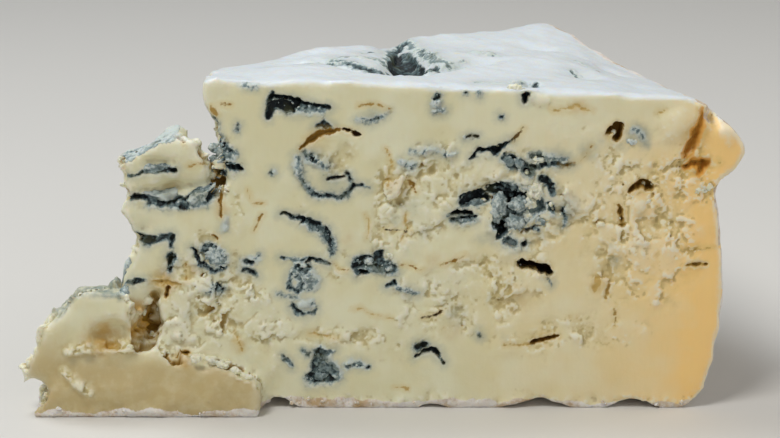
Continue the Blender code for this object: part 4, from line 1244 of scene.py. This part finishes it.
def scatterTree():
    tree = bpy.data.node_groups.new("crumb scatter", "GeometryNodeTree")
    sockets = {
        "Geometry": "Geometry", "Per square metre": "Float", "Smallest": "Float", "Largest": "Float",
        "Roughness": "Float", "Seed": "Int", "Material": "Material",
    }
    for name, kind in sockets.items():
        tree.interface.new_socket(name, in_out="INPUT", socket_type="NodeSocket" + kind)
    tree.interface.new_socket("Geometry", in_out="OUTPUT", socket_type="NodeSocketGeometry")

    def add(kind, settings=None, values=None):
        node = tree.nodes.new(kind)
        for key, value in (settings or {}).items():
            setattr(node, key, value)
        for key, value in (values or {}).items():
            if isinstance(value, bpy.types.NodeSocket):
                tree.links.new(value, node.inputs[key])
            else:
                node.inputs[key].default_value = value
        return node

    given = add("NodeGroupInput").outputs
    where = add("GeometryNodeInputNamedAttribute", {"data_type": "FLOAT"}, {"Name": "where"}).outputs[0]
    density = add("ShaderNodeMath", {"operation": "MULTIPLY"}, {
        0: where, 1: given["Per square metre"]}).outputs[0]
    points = add("GeometryNodeDistributePointsOnFaces", {}, {
        "Mesh": given["Geometry"], "Density": density, "Seed": given["Seed"]}).outputs["Points"]
    ball = add("GeometryNodeMeshIcoSphere", {}, {"Radius": 1.0, "Subdivisions": 2}).outputs["Mesh"]
    lumpy = add("ShaderNodeTexNoise", {}, {"Scale": 1.6, "Detail": 3.0}).outputs[0]
    centred = add("ShaderNodeMath", {"operation": "SUBTRACT"}, {0: lumpy, 1: 0.5}).outputs[0]
    bulge = add("ShaderNodeMath", {"operation": "MULTIPLY"}, {0: centred, 1: given["Roughness"]}).outputs[0]
    outward = add("GeometryNodeInputNormal").outputs[0]
    offset = add("ShaderNodeVectorMath", {"operation": "SCALE"}, {0: outward, "Scale": bulge}).outputs[0]
    crumb = add("GeometryNodeSetPosition", {}, {"Geometry": ball, "Offset": offset}).outputs[0]
    size = add("FunctionNodeRandomValue", {"data_type": "FLOAT"}, {
        2: given["Smallest"], 3: given["Largest"], "Seed": given["Seed"]}).outputs[1]
    shape = add("FunctionNodeRandomValue", {"data_type": "FLOAT_VECTOR"}, {
        0: (0.6, 0.6, 0.4), 1: (1.3, 1.1, 0.9), "Seed": 5}).outputs[0]
    scale = add("ShaderNodeVectorMath", {"operation": "SCALE"}, {0: shape, "Scale": size}).outputs[0]
    turn = add("FunctionNodeRandomValue", {"data_type": "FLOAT_VECTOR"}, {
        0: (0, 0, 0), 1: (6.28, 6.28, 6.28), "Seed": 9}).outputs[0]
    placed = add("GeometryNodeInstanceOnPoints", {}, {
        "Points": points, "Instance": crumb, "Rotation": turn, "Scale": scale}).outputs[0]
    real = add("GeometryNodeRealizeInstances", {}, {"Geometry": placed}).outputs[0]
    dressed = add("GeometryNodeSetMaterial", {}, {"Geometry": real, "Material": given["Material"]}).outputs[0]
    smooth = add("GeometryNodeSetShadeSmooth", {}, {"Geometry": dressed}).outputs[0]
    add("NodeGroupOutput", {}, {"Geometry": smooth})
    return tree


def crumbMaterial(name, tints, roughness):
    s = Shader(name)
    first, second, third = (colours[tint] for tint in tints)
    colour = s.mix(s.noise(1.1, 2, shift=1.7).ramp(0.42, 0.58), first, second)
    colour = s.mix(s.noise(0.5, 3, shift=4.9).ramp(0.52, 0.66) * 0.8, colour, third)
    relief = s.bump(s.noise(0.3, 3), 0.15, 0.6)
    return s.finish(colour, roughness, relief, **{
        "Subsurface Weight": 0.22, "Subsurface Radius": (1.0, 0.62, 0.30), "Subsurface Scale": 0.0016})


def read(name):
    values = np.zeros(len(paste.data.vertices), np.float32)
    paste.data.attributes[name].data.foreach_get("value", values)
    return values


def addCrumbs(name, mesh):
    piece = linked(name, mesh)
    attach(piece, "root")
    print(" ", name, len(mesh.polygons), "triangles")


def scatter(name, tree, settings):
    mesh = paste.data.copy()
    where = mesh.attributes.new("where", "FLOAT", "POINT")
    where.data.foreach_set("value", settings["where"].astype(np.float32))
    ground = linked(name + "Ground", mesh)
    modifier = ground.modifiers.new("crumbs", "NODES")
    modifier.node_group = tree
    values = {
        "Per square metre": settings["perSquareCentimetre"] * 1e4, "Smallest": settings["radius"][0] * mm,
        "Largest": settings["radius"][1] * mm, "Roughness": settings["roughness"], "Seed": settings["seed"],
        "Material": settings["material"],
    }
    for item in tree.interface.items_tree:
        if item.in_out == "INPUT" and item.name in values:
            modifier[item.identifier] = values[item.name]
    addCrumbs(name, applied(ground))


height = np.array([v.co.z for v in paste.data.vertices]) / mm
facing = np.array([v.normal.z for v in paste.data.vertices])
resting = soft(-0.6, -0.3, facing)   # nothing hangs from the underside
scatters = {
    "looseCurd": {
        "where": read("crumb") * soft(0.08, 0.3, read("cavity")) * soft(1.2, 2.4, height) * resting
        * (1 - np.minimum(read("amber"), 1)),
        "perSquareCentimetre": 9, "radius": (0.28, 0.85), "roughness": 0.9, "seed": 4,
        "material": crumbMaterial("loose curd", ("ivory", "curdWhite", "shadeCream"), 0.5)},
    "mouldGrains": {
        "where": soft(0.1, -0.4, read("mouldEdge")) * soft(0.15, 0.4, read("mouldTone")) * resting
        * (1 - read("skin")) * soft(1.2, 2.4, height) * (1 - 0.93 * read("coat")),
        "perSquareCentimetre": 24, "radius": (0.12, 0.38), "roughness": 0.9, "seed": 7,
        "material": crumbMaterial("mould grains", ("mouldGrey", "mouldPale", "mouldTeal"), 0.75)},
    "rindCrumbs": {
        "where": read("rind") * soft(0.8, 1.4, height) * soft(4.5, 2.5, height) * resting,
        "perSquareCentimetre": 22, "radius": (0.2, 0.6), "roughness": 0.9, "seed": 11,
        "material": crumbMaterial("rind crumbs", ("rindWhite", "rindPink", "rindTan"), 0.7)},
}

# Bigger crumbs that sit in the veins and on the slab's edge: place and half sizes in picture pixels,
# lean in degrees, how far the middle lies behind the face in mm, and how mouldy, from 0 to 1
bigCrumbs = {
    "grey oval": (498, 207, 8.5, 15, -6, 0.9, 0.75),
    "blue-white crumb": (519, 204, 9.5, 8.5, 20, 0.6, 0.8),
    "lower crumb": (515, 222, 10, 8.5, -20, 0.8, 0.75),
    "lower crumb, right": (527, 216, 6, 6, 30, 1.0, 0.5),
    "tan crumb": (535, 190, 9.5, 10, 14, 0.4, 0.15),
    "tan crumb, lower": (530, 203, 7, 6, -30, 0.5, 0.2),
    "tan crumb, left": (523, 187, 5, 5.5, 0, 0.9, 0.35),
    "right oval": (541, 219, 8.5, 6.5, -12, 0.8, 0.7),
    "roof lump": (509, 161, 5.5, 6, 20, 0.7, 0.95),
    "roof lump, right": (519, 163, 5, 6, -10, 0.8, 0.9),
    "white chip": (538, 161, 8, 3, 12, 0.3, 0.25),
    "toe": (512, 243, 6, 5, 0, 1.2, 1.0),
    "left leaf": (474, 203, 9, 4.6, 14, 1.6, 1.0),
    "left leaf, lower": (465, 221, 9, 3.2, 4, 1.3, 0.95),
    "crevice, top": (221, 151, 7.5, 5.5, 12, 1.8, 0.72),
    "crevice, left": (213, 147, 5, 4.5, -10, 2.6, 0.7),
    "crevice, right": (231, 155, 5, 5, 0, 1.2, 0.75),
    "crevice, middle": (214, 160, 5.5, 4.5, 25, 3.2, 0.9),
    "crevice, lower": (226, 164, 4.5, 3.6, 0, 2.6, 0.95),
    "crevice, crumb": (207, 172, 4.4, 4, 0, 2.6, 0.6),
    "mouldy lump of the stack": (216, 256, 11, 11, 10, 1.5, 0.78),
    "clot": (303, 276, 9, 7.5, -10, 1.1, 0.85),
    "clot, lower": (309, 287, 7, 5.5, 0, 1.1, 0.85),
    "clot, foot": (305, 305, 6.5, 4, 0, 0.9, 0.7),
    "middle vein": (369, 261, 5, 4.4, 20, 0.9, 0.7),
    "middle vein, right": (387, 267, 6.5, 4.4, -10, 0.8, 0.8),
    "middle vein, crumb": (391, 254, 5.5, 5, 0, 0.5, 0.2),
    "tail crumb": (402, 285, 4.2, 3.4, 0, 0.5, 0.7),
    "arched vein": (313, 227, 5, 3, -30, 1.0, 0.75),
    "low vein": (326, 362, 5.5, 5, 0, 1.2, 0.95),
    "low vein, lower": (321, 375, 7, 4.6, 10, 1.2, 0.9),
    "ring crumb": (313, 147, 5, 4, 20, 0.8, 0.65),
    "ring crumb, left": (303, 153, 4, 3.4, -20, 0.8, 0.75),
    "white lump at the top": (515, 89, 8, 5.4, 0, 1.2, 0.1),
    "crumb under the lip hole": (699, 188, 8, 7, 0, 0.9, 0.05),
    "crumb under the lip hole, right": (709, 186, 5, 5, 0, 1.0, 0.05),
    "crumb in the right hole": (634, 197, 7, 5.5, 10, 0.8, 0.0),
    "crumb by the right hole": (645, 201, 6, 6, 0, 0.6, 0.0),
    "crumb by the upper hole": (632, 142, 6, 4.5, 0, 0.6, 0.6),
    "slab's edge, first": (196, 359, 6, 4, 10, -4.6, 0.0),
    "slab's edge, second": (211, 360, 6, 3.6, -20, -3.4, 0.0),
    "slab's edge, third": (222, 365, 7, 4, -24, -3.6, 0.0),
    "slab's edge, fourth": (235, 371, 6, 4, -20, -3.6, 0.0),
    "slab's edge, fifth": (247, 377, 6, 3.6, -16, -4, 0.0),
}


def mouldyCrumbMaterial():
    s = Shader("mouldy crumbs")
    spread = s.attribute("mouldy") + (s.noise(1.5, 3, shift=2.7) - 0.5) * 1.6
    spread = spread + (s.noise(0.5, 3, shift=6.7) - 0.5) * 0.8
    bare = s.mix(s.noise(0.9, 3, shift=1.4).ramp(0.4, 0.6), colours["ivory"], colours["curdWhite"])
    colour = s.mix(spread.ramp(0.10, 0.55), bare, colours["mouldPale"])
    colour = s.mix(spread.ramp(0.50, 0.95), colour, colours["mouldGrey"])
    colour = s.mix(spread.ramp(0.90, 1.35), colour, colours["mouldTeal"])
    return s.finish(colour, 0.6, s.bump(s.noise(0.35, 4), 0.2, 0.8), **{
        "Subsurface Weight": 0.15, "Subsurface Radius": (1.0, 0.7, 0.4), "Subsurface Scale": 0.0012})


def makeBigCrumbs(crumbs):
    bm = bmesh.new()
    mouldy = bm.verts.layers.float.new("mouldy")
    for number, (x, y, halfWidth, halfHeight, lean, behind, mouldiness) in enumerate(crumbs.values()):
        made = bmesh.ops.create_icosphere(bm, subdivisions=4, radius=1.0)["verts"]
        along, up = onFace(x, y, behind)
        halves = np.array([halfWidth, 0.75 * min(halfWidth, halfHeight), halfHeight]) * perPixel
        unit = np.array([v.co for v in made])
        spots = unit * halves + number * 31.7
        facets, gap = brokenCurd(spots, 1.1, 2.6)
        swell = 1 + 0.30 * facets - 0.10 * soft(0.2, 0.0, gap) + 0.16 * grain(spots, 0.7, 3)
        turn = math.radians(lean)
        local = unit * halves * swell[:, None]
        x1 = local[:, 0] * math.cos(turn) - local[:, 2] * math.sin(turn)
        z1 = local[:, 0] * math.sin(turn) + local[:, 2] * math.cos(turn)
        for vertex, a, b, c in zip(made, x1, local[:, 1], z1):
            vertex.co = axis + Vector((along + a, behind + b, up + c)) * mm
            vertex[mouldy] = mouldiness
    mesh = bpy.data.meshes.new("bigCrumbs")
    bm.to_mesh(mesh)
    bm.free()
    mesh.shade_smooth()
    mesh.materials.append(mouldyCrumbMaterial())
    addCrumbs("bigCrumbs", mesh)


makeBigCrumbs(bigCrumbs)
crumbScatter = scatterTree()
for name, settings in scatters.items():
    scatter(name, crumbScatter, settings)
print("crumbs scattered")


# Floor, backdrop and lights

floorSettings = {
    "size": 6.0, "flat": 0.9, "bend": 0.6, "rise": 1.6, "steps": 8,   # m; flat behind the wedge
    "colour": fromScreen(214, 211, 205), "shade": (0.5, 0.5, 0.5),
}


def makeFloor(settings):
    # a floor that curves up into its own backdrop, behind the wedge
    half, flat, bend, steps = settings["size"] / 2, settings["flat"], settings["bend"], settings["steps"]
    profile = [(-half, 0.0), (flat, 0.0)]
    for step in range(1, steps + 1):
        turn = step / steps * math.pi / 2
        profile.append((flat + bend * math.sin(turn), bend * (1 - math.cos(turn))))
    profile.append((flat + bend, settings["rise"]))
    mesh = bpy.data.meshes.new("floor")
    verts = [(side * half, y, z) for y, z in profile for side in (-1, 1)]
    faces = [(2 * i, 2 * i + 1, 2 * i + 3, 2 * i + 2) for i in range(len(profile) - 1)]
    mesh.from_pydata(verts, [], faces)
    mesh.shade_smooth()
    s = Shader("floor")
    tint = s.mix(s.noise(400, 2).ramp(0.3, 0.7) * 0.05, settings["colour"], settings["shade"])
    mesh.materials.append(s.finish(tint, 0.6))
    linked("floor", mesh)


makeFloor(floorSettings)

lights = {
    "key above": {"at": (-0.30, 0.22, 0.85), "size": 0.30, "power": 3.6, "colour": (0.90, 0.95, 1.0)},
    "front top": {"at": (-0.30, -0.38, 0.80), "size": 0.30, "power": 4.2, "colour": (1.0, 0.99, 0.97)},
    "right kicker": {"at": (0.75, 0.15, 0.40), "size": 0.35, "power": 1.4, "colour": (1.0, 0.97, 0.92)},
    "front fill": {"at": (0.50, -0.95, 0.40), "size": 1.0, "power": 2.1, "colour": (1.0, 0.98, 0.95)},
}
lampTarget = Vector((0, 0, 0.03))
for name, settings in lights.items():
    lamp = bpy.data.lights.new(name, "AREA")
    lamp.energy = settings["power"]
    lamp.size = settings["size"]
    lamp.color = settings["colour"]
    bulb = linked(name, lamp)
    bulb.location = settings["at"]
    bulb.rotation_euler = (lampTarget - bulb.location).to_track_quat("-Z", "Y").to_euler()

studio = {"colour": (0.92, 0.95, 1.0, 1), "strength": 0.20}
world = bpy.data.worlds.new("studio")
world.use_nodes = True
background = world.node_tree.nodes["Background"].inputs
background["Color"].default_value = studio["colour"]
background["Strength"].default_value = studio["strength"]
scene.world = world
scene.view_settings.view_transform = "Standard"
scene.view_settings.look = "None"
print("lights set")
